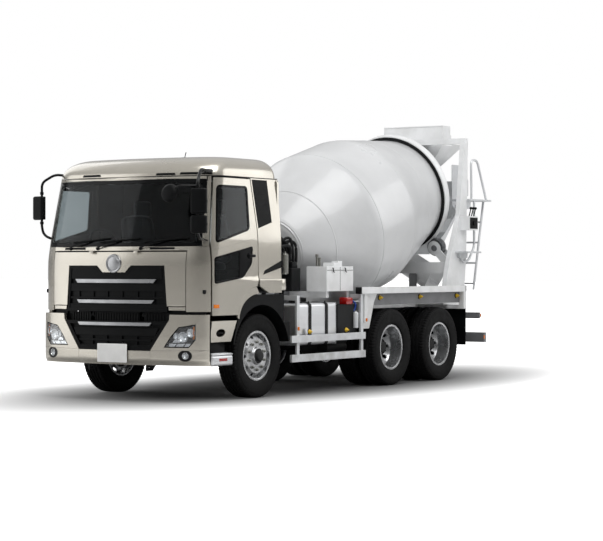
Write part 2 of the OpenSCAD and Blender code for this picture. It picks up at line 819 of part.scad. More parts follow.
module axles() color("DimGray") placed() {
    // Front beam with its pivot bosses.
    difference() {
        union() {
            box(-45, 45, -kingpin_y + 130, kingpin_y - 130, 400, 500);
            pair() {
                side_plate([[-45, 400], [45, 400], [40, 560], [-40, 560]], kingpin_y - 200,
                    kingpin_y - 110);
                box(-40, 40, kingpin_y - 120, kingpin_y, tyre_radius - 50, tyre_radius + 50);
                translate([0, kingpin_y, tyre_radius - 50]) cylinder(r = 44, h = 100);
            }
        }
        pair() translate([0, kingpin_y, 0]) cylinder(r = kingpin_radius + running_clearance, h = 1000);
    }
    // Driven axles.
    for (x = [axle_2, axle_3]) {
        translate([x, 0, tyre_radius]) {
            sphere(r = 215);
            cross_bar(0, -640, 640, 0, 78);
            cross_bar(0, -rear_track_half - 80, rear_track_half + 80, 0, 58);
            long_bar(0, pinion_reach, 0, shaft_z - tyre_radius, 80);
            pair() box(-50, 50, rail_out + 14, rail_out + 104, 0, spring_seat);
        }
    }
    long_bar(axle_2 - pinion_reach, axle_2, 0, shaft_z, 70);
}

module leaf_springs() color("DimGray") placed() pair() {
    // Front springs under the rails.
    side_plate([[-780, 700], [780, 700], [780, 640], [300, 570], [-300, 570], [-780, 640]], rail_y - 45,
        rail_y + 45);
    box(-820, -760, rail_y - 40, rail_y + 40, 630, rail_low);
    box(760, 820, rail_y - 40, rail_y + 40, 630, rail_low);
    box(-90, 90, rail_y - 60, rail_y + 60, 500, 575);
    // Rear springs resting on the two driven axles, on a trunnion bracket.
    side_plate([[axle_2 + 120, tyre_radius + spring_seat], [axle_2 + 120, 640],
        [tandem_x + 150, 760], [tandem_x - 150, 760],
        [axle_3 - 120, 640], [axle_3 - 120, tyre_radius + spring_seat],
        [axle_3 + 60, tyre_radius + spring_seat], [tandem_x - 120, 640],
        [tandem_x + 120, 640], [axle_2 - 60, tyre_radius + spring_seat]],
        rail_out + 14, rail_out + 104);
    side_plate([[tandem_x + 170, rail_low + 40], [tandem_x + 100, 440], [tandem_x - 100, 440],
        [tandem_x - 170, rail_low + 40]], rail_out, rail_out + 13);
    box(tandem_x - 60, tandem_x + 60, rail_out - 20, rail_out + 100, 520, 641);
}

module powertrain() color("DimGray") placed() {
    box(-640, 520, -300, 300, 590, 1180);
    box(-560, 420, -190, 190, 540, 600);
    translate([-640, 0, 800]) rotate([0, -90, 0]) cylinder(r1 = 290, r2 = 180, h = 300);
    box(-1500, -900, -190, 190, 640, 950);
    long_bar(axle_2 + pinion_reach, -1480, 0, shaft_z + 20, 55);
    long_bar(axle_3 + pinion_reach, axle_2 - pinion_reach, 0, shaft_z, 50);
    box(-1520, -1470, -80, 80, 600, 720);
    // Engine mounts on the webs of the rails.
    pair() for (x = [-480, 320]) box(x, x + 80, 299, rail_out - rail_wall, rail_low + 60, rail_low + 110);
    // Radiator and cooler ahead of the engine.
    box(760, 900, -370, 370, 560, 1230);
    long_bar(500, 790, 0, 900, 240);
}

module fuel_tank() color("Silver") placed() {
    box(-1790, -880, rail_out + 85, tank_out, 640, 1080);
    box(-1790, -880, rail_out + 125, tank_out - 40, 600, 1120);
    for (y = [rail_out + 125, tank_out - 40], z = [640, 1080]) long_bar(-1790, -880, y, z, 40);
    for (x = [-1180, -1570]) {
        box(x, x + 60, rail_out, tank_out + 8, 596, 604);
        box(x, x + 60, tank_out - 4, tank_out + 8, 596, 1126);
        box(x, x + 60, rail_out, tank_out + 8, 1116, 1126);
        box(x, x + 60, rail_out, rail_out + 90, 596, rail_top - 20);
    }
    translate([-1000, tank_out - 150, 1110]) cylinder(r = 60, h = 50);
}

module side_boxes() color("DarkSlateGray") placed() {
    // Batteries and air vessels behind the tank.
    box(-2320, -1840, rail_out, box_out, 690, 1090);
    for (z = [560, 640]) long_bar(-2320, -1840, box_out - 230, z - 20, 78);
    // Exhaust treatment and additive tank on the other side.
    box(-1640, -880, -box_out - 10, -rail_out, 560, 1100);
    box(-2300, -1720, -box_out + 20, -rail_out, 620, 1060);
}

module side_guard() {
    box(-2400, -640, deck_half - 34, deck_half - 4, 640, 728);
    box(-2400, -640, deck_half - 34, deck_half - 4, 402, 494);
    for (x = [-860, -2388]) {
        box(x, x + 60, deck_half - 62, deck_half - 34, 402, guard_arm + 60);
        box(x, x + 60, rail_out, deck_half - 34, guard_arm, guard_arm + 60);
        box(x, x + 60, rail_out, rail_out + 60, rail_top - 25, guard_arm + 60);
    }
}

module side_guards() color("Silver") placed() pair() side_guard();

module side_decks() color("WhiteSmoke") placed() pair() {
    box(-deck_rear, -deck_front, deck_half - 80, deck_half, deck_top - deck_rail, deck_top);
    box(-deck_rear, -2500, deck_half - 80, deck_half - 66, skirt_low, deck_top);
    box(-deck_rear + 150, -2450, 700, deck_half - 66, walkway - 15, walkway);
    box(-deck_rear - 79, -deck_rear, rail_out, deck_half, deck_floor - 60, deck_floor);
    box(-deck_rear - 79, -deck_rear, deck_half - 80, deck_half, deck_floor - 60, deck_top);
    side_plate([[-2660, deck_top - 20], [-2480, deck_top - 20], [-2480, 990], [-2440, 850], [-2400, 850],
        [-2400, 1200],
        [-2380, deck_top - 20], [-2300, deck_top - 20], [-2300, deck_top - 1], [-2660, deck_top - 1]],
        deck_half - 60, deck_half - 20);
    box(-2500, -2440, rail_out, deck_half - 66, deck_floor - 60, walkway);
}

module rear_bumper() color("DimGray") placed() {
    box(-bar_rear, -bar_rear + 70, -bar_half, bar_half, 490, 630);
    pair() box(-bar_rear + 70, -rail_rear + 60, rail_out, rail_out + 40, 490, 900);
    pair() box(-5648, -5610, rail_out, 1190, 845, 905);
}

module control_boxes() color("Silver") placed() {
    // Water box on the deck front, with its valve boxes, and the lever box by the platform.
    box(-2360, -1710, 745, 1050, 1262, 1580);
    box(-2330, -2230, 800, 900, 1580, 1650);
    box(-2120, -1990, 820, 980, 1580, 1630);
    box(-2320, -2260, 780, 1010, walkway, 1262);
    box(-1820, -1760, rail_out, 1010, 1180, 1262);
    box(-1820, -1760, rail_out - 25, rail_out, deck_floor, 1262);
    box(-2320, -2260, rail_in, 800, walkway, 1180);
    box(-2320, -2260, rail_in, rail_out, deck_floor, walkway + 1);
    box(-5720, -5460, column_out, column_out + 150, 2100, 2300);
}

module front_pedestal() color("DimGray") placed() {
    // Trestle under the drive.
    pair() side_plate([[-1380, deck_floor], [-2080, deck_floor], [-1880, 1500], [-1600, 1500]],
        rail_in + 20, rail_in + 60);
    box(-1880, -1600, -rail_in - 60, rail_in + 60, 1470, 1510);
    // Reducer, flange and motor along the drum axis.
    on_drum() {
        translate([0, 0, -drum_front - 60]) cylinder(r = 150, h = 59.7);
        translate([0, 0, -drum_front - 330]) cylinder(r = 230, h = 275);
        translate([0, 0, -drum_front - 540]) cylinder(r = 110, h = 215);
    }
    box(-1860, -1640, -160, 160, 1500, 1640);
    // Pump and oil cooler behind the cab.
    box(-1240, -1000, -rail_in - 60, 300, deck_floor, 1420);
    box(-1180, -1060, -820, -280, 1420, 1900);
    box(-1180, -1060, -820, -rail_in, walkway, 1420);
    box(-1180, -1060, -rail_out, -rail_in, deck_floor, walkway + 1);
}

module rear_pedestal() color("WhiteSmoke") placed() {
    pair() {
        // Side columns from the subframe to the hopper.
        side_plate([[-4950, deck_floor], [-5560, deck_floor], [-5640, 1700], [-5700, hopper_rim - 28],
            [-5580, hopper_rim - 28], [-5440, 2300], [-5160, 1700]], column_in, column_out);
        box(-5540, -5000, rail_in, column_in + 1, deck_floor, deck_floor + 90);
        // Roller brackets.
        difference() {
            union() {
                on_drum() rotate([0, 0, -roller_angle]) translate([-roller_reach, 0, track_mid]) {
                    for (s = [-roller_half - 24, roller_half + 4])
                        translate([0, 0, s]) {
                            cylinder(r = 60, h = 20);
                            translate([-330, -60, 0]) cube([330, 120, 20]);
                        }
                    translate([0, 0, -roller_half - 24]) cylinder(r = roller_pin, h = 2 * roller_half + 48);
                }
            }
            box(-7000, 0, -1000, 2000, 0, 1520);
        }
    }
    box(-5600, -5240, -column_in - 1, column_in + 1, 1480, 1640);
    // Top tie that carries the hopper.
    box(-5700, -5620, -column_in - 1, column_in + 1, hopper_rim - 28, hopper_rim + 52);
    pair() box(-5700, -5620, column_in, column_out, hopper_rim - 38, hopper_rim + 52);
    // Arm that carries the chute post.
    difference() {
        box(-chute_x - 90, -rail_rear + 40, -70, 70, 1020, 1080);
        translate([-chute_x, 0, 0]) cylinder(r = 20, h = 2000);
    }
    box(-rail_rear - 1, -5540, -rail_in, rail_in, rail_top, deck_floor + 40);
    translate([-chute_x, 0, 1080]) cylinder(r = post_radius, h = post_top - 1080);
}

module hopper() color("WhiteSmoke") placed() {
    difference() {
        union() {
            prism([-6030, -hopper_front, 250, hopper_low, hopper_low],
                [-6440, -hopper_front, hopper_half, hopper_rim, hopper_rim], 0, 0);
            box(-6050, -hopper_front, -hopper_half, hopper_half, hopper_rim - 1, hopper_top);
            box(-hopper_front - 1, -5700.3, -300, 300, hopper_rim - 8, hopper_rim + 42);
        }
        prism([-6030, -hopper_front, 250, hopper_low, hopper_low],
            [-6440, -hopper_front, hopper_half, hopper_rim, hopper_rim], sheet, 2);
        box(-6100, -hopper_front - sheet, -hopper_half + sheet, hopper_half - sheet, hopper_rim - 20,
            hopper_top + 10);
        box(-6100, -6050 + 30, -hopper_half - 1, hopper_half + 1, hopper_top - splash_height / 2,
            hopper_top + 10);
    }
    // Tongue into the drum mouth.
    side_plate([[-hopper_front - 1, hopper_low], [-hopper_front - 1, hopper_low + 14],
        [-5640, hopper_low - 86],
        [-5640, hopper_low - 100]], -220, 220);
}

module discharge_guide() color("Silver") placed() {
    difference() {
        prism([-6220, -5930, 190, 1760, 1760], [-6560, -5910, 480, 2640, 2080], 0, 0);
        prism([-6220, -5930, 190, 1760, 1760], [-6560, -5910, 480, 2640, 2080], sheet, 2);
    }
    pair() side_plate([[-6110, 2440], [-6560, 2640], [-rear_reach, 2640], [-rear_reach, 2860],
        [-6440, 3080],
        [-6110, 3080]], 472, 480);
    box(-rear_reach, -rear_reach + sheet, -480, 480, 2630, 2860);
    box(-rear_reach, -6550, -480, 480, 2630, 2640);
    // Stays to the columns.
    pair() tube([[-6150, 470, 2480], [-5650, column_in + 30, 2250]], 20);
}

module platform() color("Silver") placed() {
    box(-6340, -5660, mouth_radius + 65, 1010, platform_z, platform_z + 24);
    box(-5780, -5660, column_in, column_out, platform_z - 120, platform_z);
    tube(bent([[-5760, 990, platform_z + 20], [-5745, 990, 3120], [-5930, 990, 3120],
        [-6215, 990, platform_z + 20]], 80), rail_tube);
    tube(bent([[-5840, 990, platform_z + 10], [-5840, 990, 1860], [-5660, 990, 1660], [-5480, 990, 1640],
        [-5420, 990, 1720]], 70), rail_tube);
    box(-5700, -5300, column_out, 1180, 1770, 1794);
    box(-5620, -5380, column_out, 1000, 1700, 1771);
    // Ladder below the platform.
    for (y = [620, 900]) tube([[-6300, y, platform_z + 10], [-5990, y, 1240]], rail_tube);
    for (z = [1330, 1630, 1930, 2230]) cross_bar(-5990 - (z - 1240) * 0.24, 620, 900, z, rail_tube - 4);
}

module hoses() color("Black") placed() {
    // Hydraulic and air lines held between the pump, the cooler and the reducer.
    for (k = [0:3])
        tube(bent([[-1120 + 30 * k, 200 + 20 * k, 1415], [-1120 + 30 * k, 420 + 60 * k, 1520 + 90 * k],
            [-1380, 560 + 60 * k, 1560 + 100 * k], [-1520, 420 + 30 * k, 1300 + 40 * k],
            [-1560 - 30 * k, 400, deck_floor - 2]], 120, 6), 20);
    tube(bent([[-772, rail_y, deck_floor - 2], [-772, 560, 1500], [-900, 840, 1900], [-1040, 820, 1500],
        [-1040, 560, 1300], [-1040, rail_y, deck_floor - 2]], 110, 6), 26);
}

module knuckle() {
    for (z = [tyre_radius - 92, tyre_radius + 52]) {
        translate([0, kingpin_y, z]) cylinder(r = 46, h = 40);
        box(-46, 46, kingpin_y, kingpin_y + 60, z, z + 40);
    }
    box(-46, 46, kingpin_y + 52, kingpin_y + 76, tyre_radius - 92, tyre_radius + 92);
    cross_bar(0, kingpin_y + 70, front_track_half + 70, tyre_radius, 42);
    // Steering arm.
    side_plate([[0, tyre_radius - 92], [0, tyre_radius - 66], [-210, tyre_radius - 66],
        [-210, tyre_radius - 92]],
        kingpin_y - 30, kingpin_y + 30);
    translate([0, kingpin_y, tyre_radius - 92]) cylinder(r = kingpin_radius, h = 184);
}

module knuckle_left() color("DimGray") placed() knuckle();
module knuckle_right() color("DimGray") placed() mirror([0, 1, 0]) knuckle();

module tie_rod() color("DimGray") placed() {
    cross_bar(-180, -kingpin_y + 10, kingpin_y - 10, tyre_radius - 114.5, 22);
    pair() translate([-180, kingpin_y, tyre_radius - 136.5]) cylinder(r = 36, h = 44);
}

// Half section of a tyre from the axis out.
function tyre_half_outline() = [
    [bead_radius + 0.3, 0], [bead_radius + 0.3, 99], [bead_radius + 16, 99],
        [bead_radius + 30, tyre_half - 14],
    [tyre_radius - 110, tyre_half], [tyre_radius - 42, tyre_half - 5], [tyre_radius - 12, tyre_half - 14],
    [tyre_radius - 3, tyre_half - 24], [tyre_radius, tyre_half - 36], [tyre_radius, 0]];
module tyre() {
    p = tyre_half_outline();
    rotate([-90, 0, 0]) rotate_extrude($fn = 96)
        polygon(concat(p, [for (k = [len(p) - 2:-1:1]) [p[k][0], -p[k][1]]]));
}

// Rim barrel with two flanges.
module barrel(y) {
    rotate([-90, 0, 0]) translate([0, 0, y]) rotate_extrude($fn = 96)
        polygon([[bead_radius, -99], [bead_radius + 14, -100], [bead_radius + 14, -110],
            [bead_radius - 10, -108],
            [bead_radius - 12, 108], [bead_radius + 14, 110], [bead_radius + 14, 100], [bead_radius, 99]]);
}

module hand_hole_ring(r, y0, y1) {
    for (k = [0:hand_holes - 1]) rotate([0, 360 * k / hand_holes, 0]) translate([r, y0, 0])
        rotate([-90, 0, 0])
        cylinder(r = 24, h = y1 - y0);
}

module front_rim() {
    difference() {
        union() {
            barrel(0);
            rotate([-90, 0, 0]) rotate_extrude($fn = 96)
                polygon([[0, -70], [150, -70], [190, -100], [200, -100], [200, -30], [120, 60], [120, 88],
                    [nave_radius, 88], [bead_radius - 6, 30], [bead_radius - 6, 44], [nave_radius + 4, 102],
                    [110, 102], [96, 130], [80, 134], [0, 134]]);
        }
        cross_bar(0, -150, 74, 0, 42 + running_clearance);
        hand_hole_ring(nave_radius + 34, -10, 150);
    }
}

module twin_rim() {
    difference() {
        union() {
            barrel(twin_half);
            barrel(-twin_half);
            rotate([-90, 0, 0]) rotate_extrude($fn = 96)
                polygon([[0, -200], [180, -200], [200, -190], [200, -60], [140, -12], [nave_radius, -12],
                    [bead_radius - 6, -twin_half + 60], [bead_radius - 6, -twin_half + 76],
                        [nave_radius + 8, 0],
                    [bead_radius - 6, twin_half - 76], [bead_radius - 6, twin_half - 60], [nave_radius, 12],
                    [130, 12], [130, 60], [110, 110], [90, 116], [0, 116]]);
        }
        cross_bar(0, -300, 90, 0, 58 + running_clearance);
        hand_hole_ring(nave_radius + 32, -300, 300);
    }
}

module front_wheel_place() placed() translate([0, front_track_half, tyre_radius]) children();
module twin_place(x) placed() translate([x, rear_track_half, tyre_radius]) children();
module twin_tyres() {
    translate([0, twin_half, 0]) tyre();
    translate([0, -twin_half, 0]) tyre();
}

module front_rim_left() color("Silver") front_wheel_place() front_rim();
module front_tyre_left() color("Black") front_wheel_place() tyre();
module front_rim_right() color("Silver") mirror([0, 1, 0]) front_wheel_place() front_rim();
module front_tyre_right() color("Black") mirror([0, 1, 0]) front_wheel_place() tyre();
module rim_left_2() color("Silver") twin_place(axle_2) twin_rim();
module tyres_left_2() color("Black") twin_place(axle_2) twin_tyres();
module rim_right_2() color("Silver") mirror([0, 1, 0]) twin_place(axle_2) twin_rim();
module tyres_right_2() color("Black") mirror([0, 1, 0]) twin_place(axle_2) twin_tyres();
module rim_left_3() color("Silver") twin_place(axle_3) twin_rim();
module tyres_left_3() color("Black") twin_place(axle_3) twin_tyres();
module rim_right_3() color("Silver") mirror([0, 1, 0]) twin_place(axle_3) twin_rim();
module tyres_right_3() color("Black") mirror([0, 1, 0]) twin_place(axle_3) twin_tyres();

// Inside radius of the drum between the track and the mouth at a distance along the axis.
function rear_cone(s) = s < track_front
    ? drum_radius + (track_cone_radius - drum_radius) * (s - belly_half) / (track_front - belly_half)
    : track_cone_radius + (mouth_radius - track_cone_radius) * (s - track_front) / (drum_mouth - track_front);

module drum_shell() color("WhiteSmoke") placed() on_drum() {
    rotate_extrude($fn = 128)
        polygon([[0, -drum_front], [front_plate_radius, -drum_front], [front_break_radius, -front_break],
            [drum_radius, -belly_half], [drum_radius, belly_half], [track_cone_radius, track_front],
            [track_radius, track_front], [track_radius, track_back], [rear_cone(track_back), track_back],
            [mouth_radius, drum_mouth], [mouth_radius - drum_wall, drum_mouth],
            [rear_cone(track_back) - drum_wall, track_back], [track_cone_radius - drum_wall, track_front],
            [drum_radius - drum_wall, belly_half], [drum_radius - drum_wall, -belly_half],
            [front_break_radius - drum_wall, -front_break + 4],
                [front_plate_radius - 4, -drum_front + drum_wall],
            [0, -drum_front + drum_wall]]);
}

// Two screw blades seen through the mouth, on the inside of the wall.
module blade(start) {
    n = 48;
    s0 = 1000;
    s1 = drum_mouth - 30;
    polyhedron(
        points = [for (k = [0:n]) let (s = s0 + (s1 - s0) * k / n, a = start + 360 * blade_turns * k / n,
            r = rear_cone(s))
            each [[(r - drum_wall + 4) * cos(a), (r - drum_wall + 4) * sin(a), s],
                [(r - blade_height) * cos(a), (r - blade_height) * sin(a), s],
                [(r - blade_height) * cos(a), (r - blade_height) * sin(a), s + 10],
                [(r - drum_wall + 3) * cos(a), (r - drum_wall + 3) * sin(a), s + 10]]],
        faces = concat(
            [[0, 1, 2, 3]],
            [for (k = [0:n - 1], j = [0:3]) each let (a = 4 * k + j, b = 4 * k + (j + 1) % 4)
                [[a, a + 4, b + 4], [a, b + 4, b]]],
            [[4 * n + 3, 4 * n + 2, 4 * n + 1, 4 * n]]),
        convexity = 8);
}
module drum_blades() color("Gray") placed() on_drum() {
    blade(0);
    blade(180);
}

module roller() {
    on_drum() rotate([0, 0, -roller_angle])
        translate([-roller_reach, 0, track_mid - roller_half]) difference() {
        cylinder(r = roller_radius, h = 2 * roller_half, $fn = 64);
        translate([0, 0, -1]) cylinder(r = roller_pin + running_clearance, h = 2 * roller_half + 2);
    }
}
module roller_left() color("DimGray") placed() roller();
module roller_right() color("DimGray") placed() mirror([0, 1, 0]) roller();

module chute_swivel() color("DimGray") placed() translate([-chute_x, 0, 0]) {
    difference() {
        translate([0, 0, 1086]) cylinder(r = post_radius + 26, h = post_top - 1046);
        translate([0, 0, 1000]) cylinder(r = post_radius + running_clearance, h = post_top - 1000 + 3);
    }
    difference() {
        box(-chute_half - 40, chute_half + 40, -60, 60, post_top + 6, post_top + 46);
        translate([0, 0, 1000]) cylinder(r = post_radius + running_clearance, h = post_top - 1000 + 3);
    }
    for (m = [0, 1]) mirror([m, 0, 0]) {
        box(chute_half + 16, chute_half + 40, -60, 60, post_top + 40, chute_z);
        long_bar(chute_half + 16, chute_half + 40, 0, chute_z, 60);
        long_bar(chute_half - 20, chute_half + 40, 0, chute_z, 18);
    }
}

module chute() color("WhiteSmoke") placed() translate([-chute_x, 0, chute_z]) rotate([-chute_rise, 0, 0]) {
    difference() {
        translate([0, 230, 0]) rotate([90, 0, 0]) linear_extrude(chute_length) polygon(concat(
            [[-chute_half, 190], [-chute_half, 0]], arc(0, 0, chute_half, 120, 180, 360, 10),
                [[chute_half, 190]],
            [[chute_half - sheet, 190], [chute_half - sheet, 0]],
            arc(0, 0, chute_half - sheet, 120 - sheet, 360, 180, 10), [[sheet - chute_half, 190]]));
        long_bar(-chute_half - 50, chute_half + 50, 0, 0, 18 + running_clearance);
    }
}

frame_rails();
mixer_subframe();
axles();
leaf_springs();
powertrain();
bumper();
lower_grille();
lamps();
door_steps();
mudguards();
fuel_tank();
side_boxes();
side_guards();
side_decks();
rear_bumper();
control_boxes();
front_pedestal();
rear_pedestal();
hopper();
discharge_guide();
platform();
hoses();
cab_shell();
cab_rear();
cab_side_left();
cab_side_right();
cab_roof();
windscreen();
quarter_panels();
seats();
dashboard();
wipers();
mirrors();
door_left();
door_left_glass();
door_right();
door_right_glass();
front_lid();
upper_grille();
knuckle_left();
knuckle_right();
tie_rod();
front_rim_left();
front_tyre_left();
front_rim_right();
front_tyre_right();
rim_left_2();
tyres_left_2();
rim_right_2();
tyres_right_2();
rim_left_3();
tyres_left_3();
rim_right_3();
tyres_right_3();
drum_shell();
drum_blades();
roller_left();
roller_right();
chute_swivel();
chute();
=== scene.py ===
import bmesh
import bpy
import numpy as np
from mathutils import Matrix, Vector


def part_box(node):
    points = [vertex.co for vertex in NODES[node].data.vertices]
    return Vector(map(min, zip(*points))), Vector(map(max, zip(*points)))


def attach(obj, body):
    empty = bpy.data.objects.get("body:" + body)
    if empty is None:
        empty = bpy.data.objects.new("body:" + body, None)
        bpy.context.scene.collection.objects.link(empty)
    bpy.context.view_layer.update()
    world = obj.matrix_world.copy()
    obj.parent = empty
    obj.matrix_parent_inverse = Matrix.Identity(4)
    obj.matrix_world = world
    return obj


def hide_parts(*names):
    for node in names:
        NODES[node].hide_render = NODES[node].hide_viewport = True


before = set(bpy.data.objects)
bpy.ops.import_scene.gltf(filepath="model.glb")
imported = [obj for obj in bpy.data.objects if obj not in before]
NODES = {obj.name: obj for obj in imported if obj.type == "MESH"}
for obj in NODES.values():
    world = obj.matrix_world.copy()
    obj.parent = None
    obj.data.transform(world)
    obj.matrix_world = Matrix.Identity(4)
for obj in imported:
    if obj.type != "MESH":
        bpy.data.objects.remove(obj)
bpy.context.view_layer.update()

# Lengths are millimetres from the front axle, with +X forward, +Y left and +Z up, until piece() makes them metres.
scene = bpy.context.scene
AXLE_X = 500 * (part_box("front_rim_left")[0][0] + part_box("front_rim_left")[1][0])
SIDES = ((1, "left"), (-1, "right"))


# Colour and nodes

def linear(code):
    """Linear RGBA of an sRGB hex colour: each channel through the sRGB curve."""
    c = np.array([int(code[k:k + 2], 16) for k in (1, 3, 5)]) / 255
    return (*np.where(c <= 0.04045, c / 12.92, ((c + 0.055) / 1.055) ** 2.4), 1.0)


def wire(tree, node, **inputs):
    """Fill a node's inputs, by name or as _0 by number: each is a constant, or another node's output to link. A key
    in small letters is one of the node's settings."""
    for key, value in inputs.items():
        if key[0].islower():
            setattr(node, key, value)
            continue
        socket = node.inputs[int(key[1:])] if key[1:].isdigit() else node.inputs[key.replace("_", " ")]
        if isinstance(value, bpy.types.NodeSocket):
            tree.links.new(value, socket)
        else:
            socket.default_value = value


def add(tree, kind, out=0, **inputs):
    """One new node with its settings and inputs; gives back one of its outputs."""
    made = tree.nodes.new("ShaderNode" + kind)
    wire(tree, made, **inputs)
    return made.outputs[out]


def ranged(tree, value, lo, hi, start=0.0, end=1.0, **settings):
    """Value carried from one range to another and held inside it."""
    return add(tree, "MapRange", Value=value, From_Min=lo, From_Max=hi, To_Min=start, To_Max=end, **settings)


def mixed(tree, share, colour, other):
    """Colour that goes over to another by a share."""
    return add(tree, "Mix", 2, data_type="RGBA", _0=share, _6=colour, _7=other)


def product(tree, one, other):
    """One value times another."""
    return add(tree, "Math", operation="MULTIPLY", _0=one, _1=other)


def surface(name, colour, tint, patch=400, rough=(0.35, 0.45), grain=3, bump=0.0, stretch=(1, 1, 1), dust=None,
            **sockets):
    """Surface that drifts from colour to tint in patches of a size in mm, with its roughness following the drift,
    a grain in mm as bump, and road dust: its tone, the heights in m where it is full and gone, and its most."""
    made = bpy.data.materials.new(name)
    made.use_nodes = True
    tree = made.node_tree
    where = add(tree, "TexCoord", "Object")
    place = add(tree, "Mapping", Vector=where, Scale=stretch)
    drift = add(tree, "TexNoise", Vector=place, Scale=1000 / patch, Detail=5.0)
    share = ranged(tree, drift, 0.35, 0.65)
    look = mixed(tree, share, linear(colour), linear(tint))
    if dust:
        tone, full, gone, most = dust
        low = ranged(tree, add(tree, "SeparateXYZ", 2, Vector=where), gone, full, 0.0, most)
        film = product(tree, low, share)
        look = mixed(tree, film, look, linear(tone))
    if bump:
        fine = add(tree, "TexNoise", Vector=place, Scale=1000 / grain, Detail=2.0)
        sockets["Normal"] = add(tree, "Bump", Strength=bump, Distance=grain / 4000, Height=fine)
    polish = ranged(tree, drift, 0.3, 0.7, *rough)
    wire(tree, tree.nodes["Principled BSDF"], Base_Color=look, Roughness=polish, **sockets)
    return made


# Two-stage metallic lacquer: aluminium flake under a clear coat, so broad soft highlights with a sharp gloss on top.
# The real flake is under 0.1 mm; it is drawn at 5 mm to show at all.
CAB_PAINT = surface("champagne_metallic_lacquer", "#BDB8AD", "#B3AEA3", 900, (0.22, 0.28), 5, 0.03,
                    dust=("#7E7A70", 0.4, 1.1, 0.2), Metallic=0.8, Coat_Weight=0.8, Coat_Roughness=0.04)
# Sprayed two-pack enamel on rolled plate: even gloss with slow waves in the sheet and a little cement haze.
WHITE_PAINT = surface("white_gloss_enamel", "#C9CACB", "#C0C1C2", 700, (0.26, 0.4), 160, 0.05,
                      Coat_Weight=0.35, Coat_Roughness=0.08)
# The same enamel on fabricated steel, matter and dirtier.
FRAME_WHITE = surface("white_enamel_on_steel", "#E4E5E6", "#D8D9D9", 240, (0.34, 0.5), 40, 0.06,
                      dust=("#8C877E", 0.5, 1.5, 0.35), Coat_Weight=0.2, Coat_Roughness=0.15)
# Injection-moulded polypropylene with a fine spark-eroded grain.
BLACK_PLASTIC = surface("black_moulded_polypropylene", "#08090A", "#0C0D0E", 120, (0.4, 0.5), 2.5, 0.08,
                        Specular_IOR_Level=0.1)
# Gloss acrylic-coated plastic of mirror heads and pillar trim.
GLOSS_BLACK = surface("black_gloss_acrylic", "#08090A", "#0C0D0E", 300, (0.14, 0.22), Specular_IOR_Level=0.25)
# Vulcanised rubber, brushed clean but dull, with dust in its grain.
TYRE_RUBBER = surface("vulcanised_tyre_rubber", "#0B0B0C", "#111111", 60, (0.6, 0.8), 5, 0.25,
                      dust=("#242220", 0.02, 0.4, 0.3), Specular_IOR_Level=0.15)
# Reinforced hose cover, smoother than a tyre.
HOSE_RUBBER = surface("ribbed_hose_rubber", "#0D0E0F", "#131415", 40, (0.45, 0.6), 4, 0.2, Specular_IOR_Level=0.2)
# Chassis paint: semi-gloss black over rolled steel.
CHASSIS_BLACK = surface("semi_gloss_chassis_paint", "#0E0F10", "#151617", 260, (0.4, 0.58), 12, 0.1,
                        dust=("#2A2825", 0.3, 1.1, 0.35), Specular_IOR_Level=0.15)
# Sand-cast iron with a primer wash.
CAST_IRON = surface("sand_cast_iron", "#1B1C1D", "#252627", 90, (0.6, 0.78), 7, 0.4, dust=("#33302C", 0.2, 0.9, 0.35),
                    Metallic=0.3)
# Silver wheel lacquer polished bright on the bolt face.
WHEEL_SILVER = surface("silver_wheel_lacquer", "#C3C4C5", "#ABACAE", 110, (0.22, 0.34), 3, 0.05,
                       dust=("#6C6862", 0.2, 0.6, 0.2), Metallic=0.9)
# Brushed aluminium: drawn scratches along X, 0.2 mm wide in life and drawn at 3 mm.
BRUSHED_ALUMINIUM = surface("brushed_aluminium", "#E2E3E5", "#D8DADC", 90, (0.28, 0.42), 3, 0.1, (0.04, 1, 1),
                            dust=("#77736C", 0.3, 0.9, 0.3), Metallic=0.85)
# Silver-grey coat on the guard tubes and boxes.
GUARD_SILVER = surface("silver_grey_enamel", "#D6D8DA", "#CACCCE", 200, (0.32, 0.46), 20, 0.05,
                       dust=("#7B766E", 0.3, 1.0, 0.35), Metallic=0.45, Coat_Weight=0.2)
# Satin chrome on the grille bars and badge disc.
SATIN_CHROME = surface("satin_chrome", "#A3A4A6", "#97989A", 150, (0.26, 0.34), Metallic=1.0)
# Zinc-plated fasteners, slightly yellow.
ZINC = surface("zinc_plated_steel", "#9A9A95", "#85857F", 18, (0.3, 0.46), 2, 0.1, Metallic=0.95)
# Rolled and machined track steel, kept bright by the rollers.
TRACK_STEEL = surface("rolled_track_steel", "#85878A", "#6A6B6D", 70, (0.3, 0.48), 4, 0.12, Metallic=1.0)
# Green-grey tinted laminated glass.
GLASS = surface("tinted_laminated_glass", "#B4BBBD", "#AEB5B7", 600, (0.0, 0.01), Transmission_Weight=1.0, IOR=1.2)
# Printed ceramic edge of the screens, opaque and black.
FRIT = surface("ceramic_glass_edge", "#08090A", "#0C0D0E", 400, (0.12, 0.2), Specular_IOR_Level=0.12)
# Clear moulded lamp cover.
LENS = surface("clear_polycarbonate", "#F2F4F5", "#ECEEF0", 200, (0.0, 0.03), Transmission_Weight=1.0, IOR=1.58)
# Vacuum-metallised reflector bowls.
REFLECTOR = surface("metallised_reflector", "#DADCDD", "#C8CACC", 60, (0.06, 0.14), Metallic=1.0)
# Dyed acrylic lamp covers and reflectors.
AMBER = surface("amber_acrylic", "#E07A10", "#D06A08", 30, (0.12, 0.2), 5, 0.15, Coat_Weight=0.5)
RED = surface("red_acrylic", "#A5130F", "#8E0E0B", 30, (0.12, 0.22), 5, 0.15, Coat_Weight=0.5)
YELLOW = surface("yellow_moulded_plastic", "#D9B21C", "#CBA313", 30, (0.3, 0.42), 4, 0.1)
# Dark soft-touch cab trim.
TRIM = surface("soft_touch_trim", "#17181A", "#1D1F20", 150, (0.6, 0.75), 3, 0.25, Specular_IOR_Level=0.12)
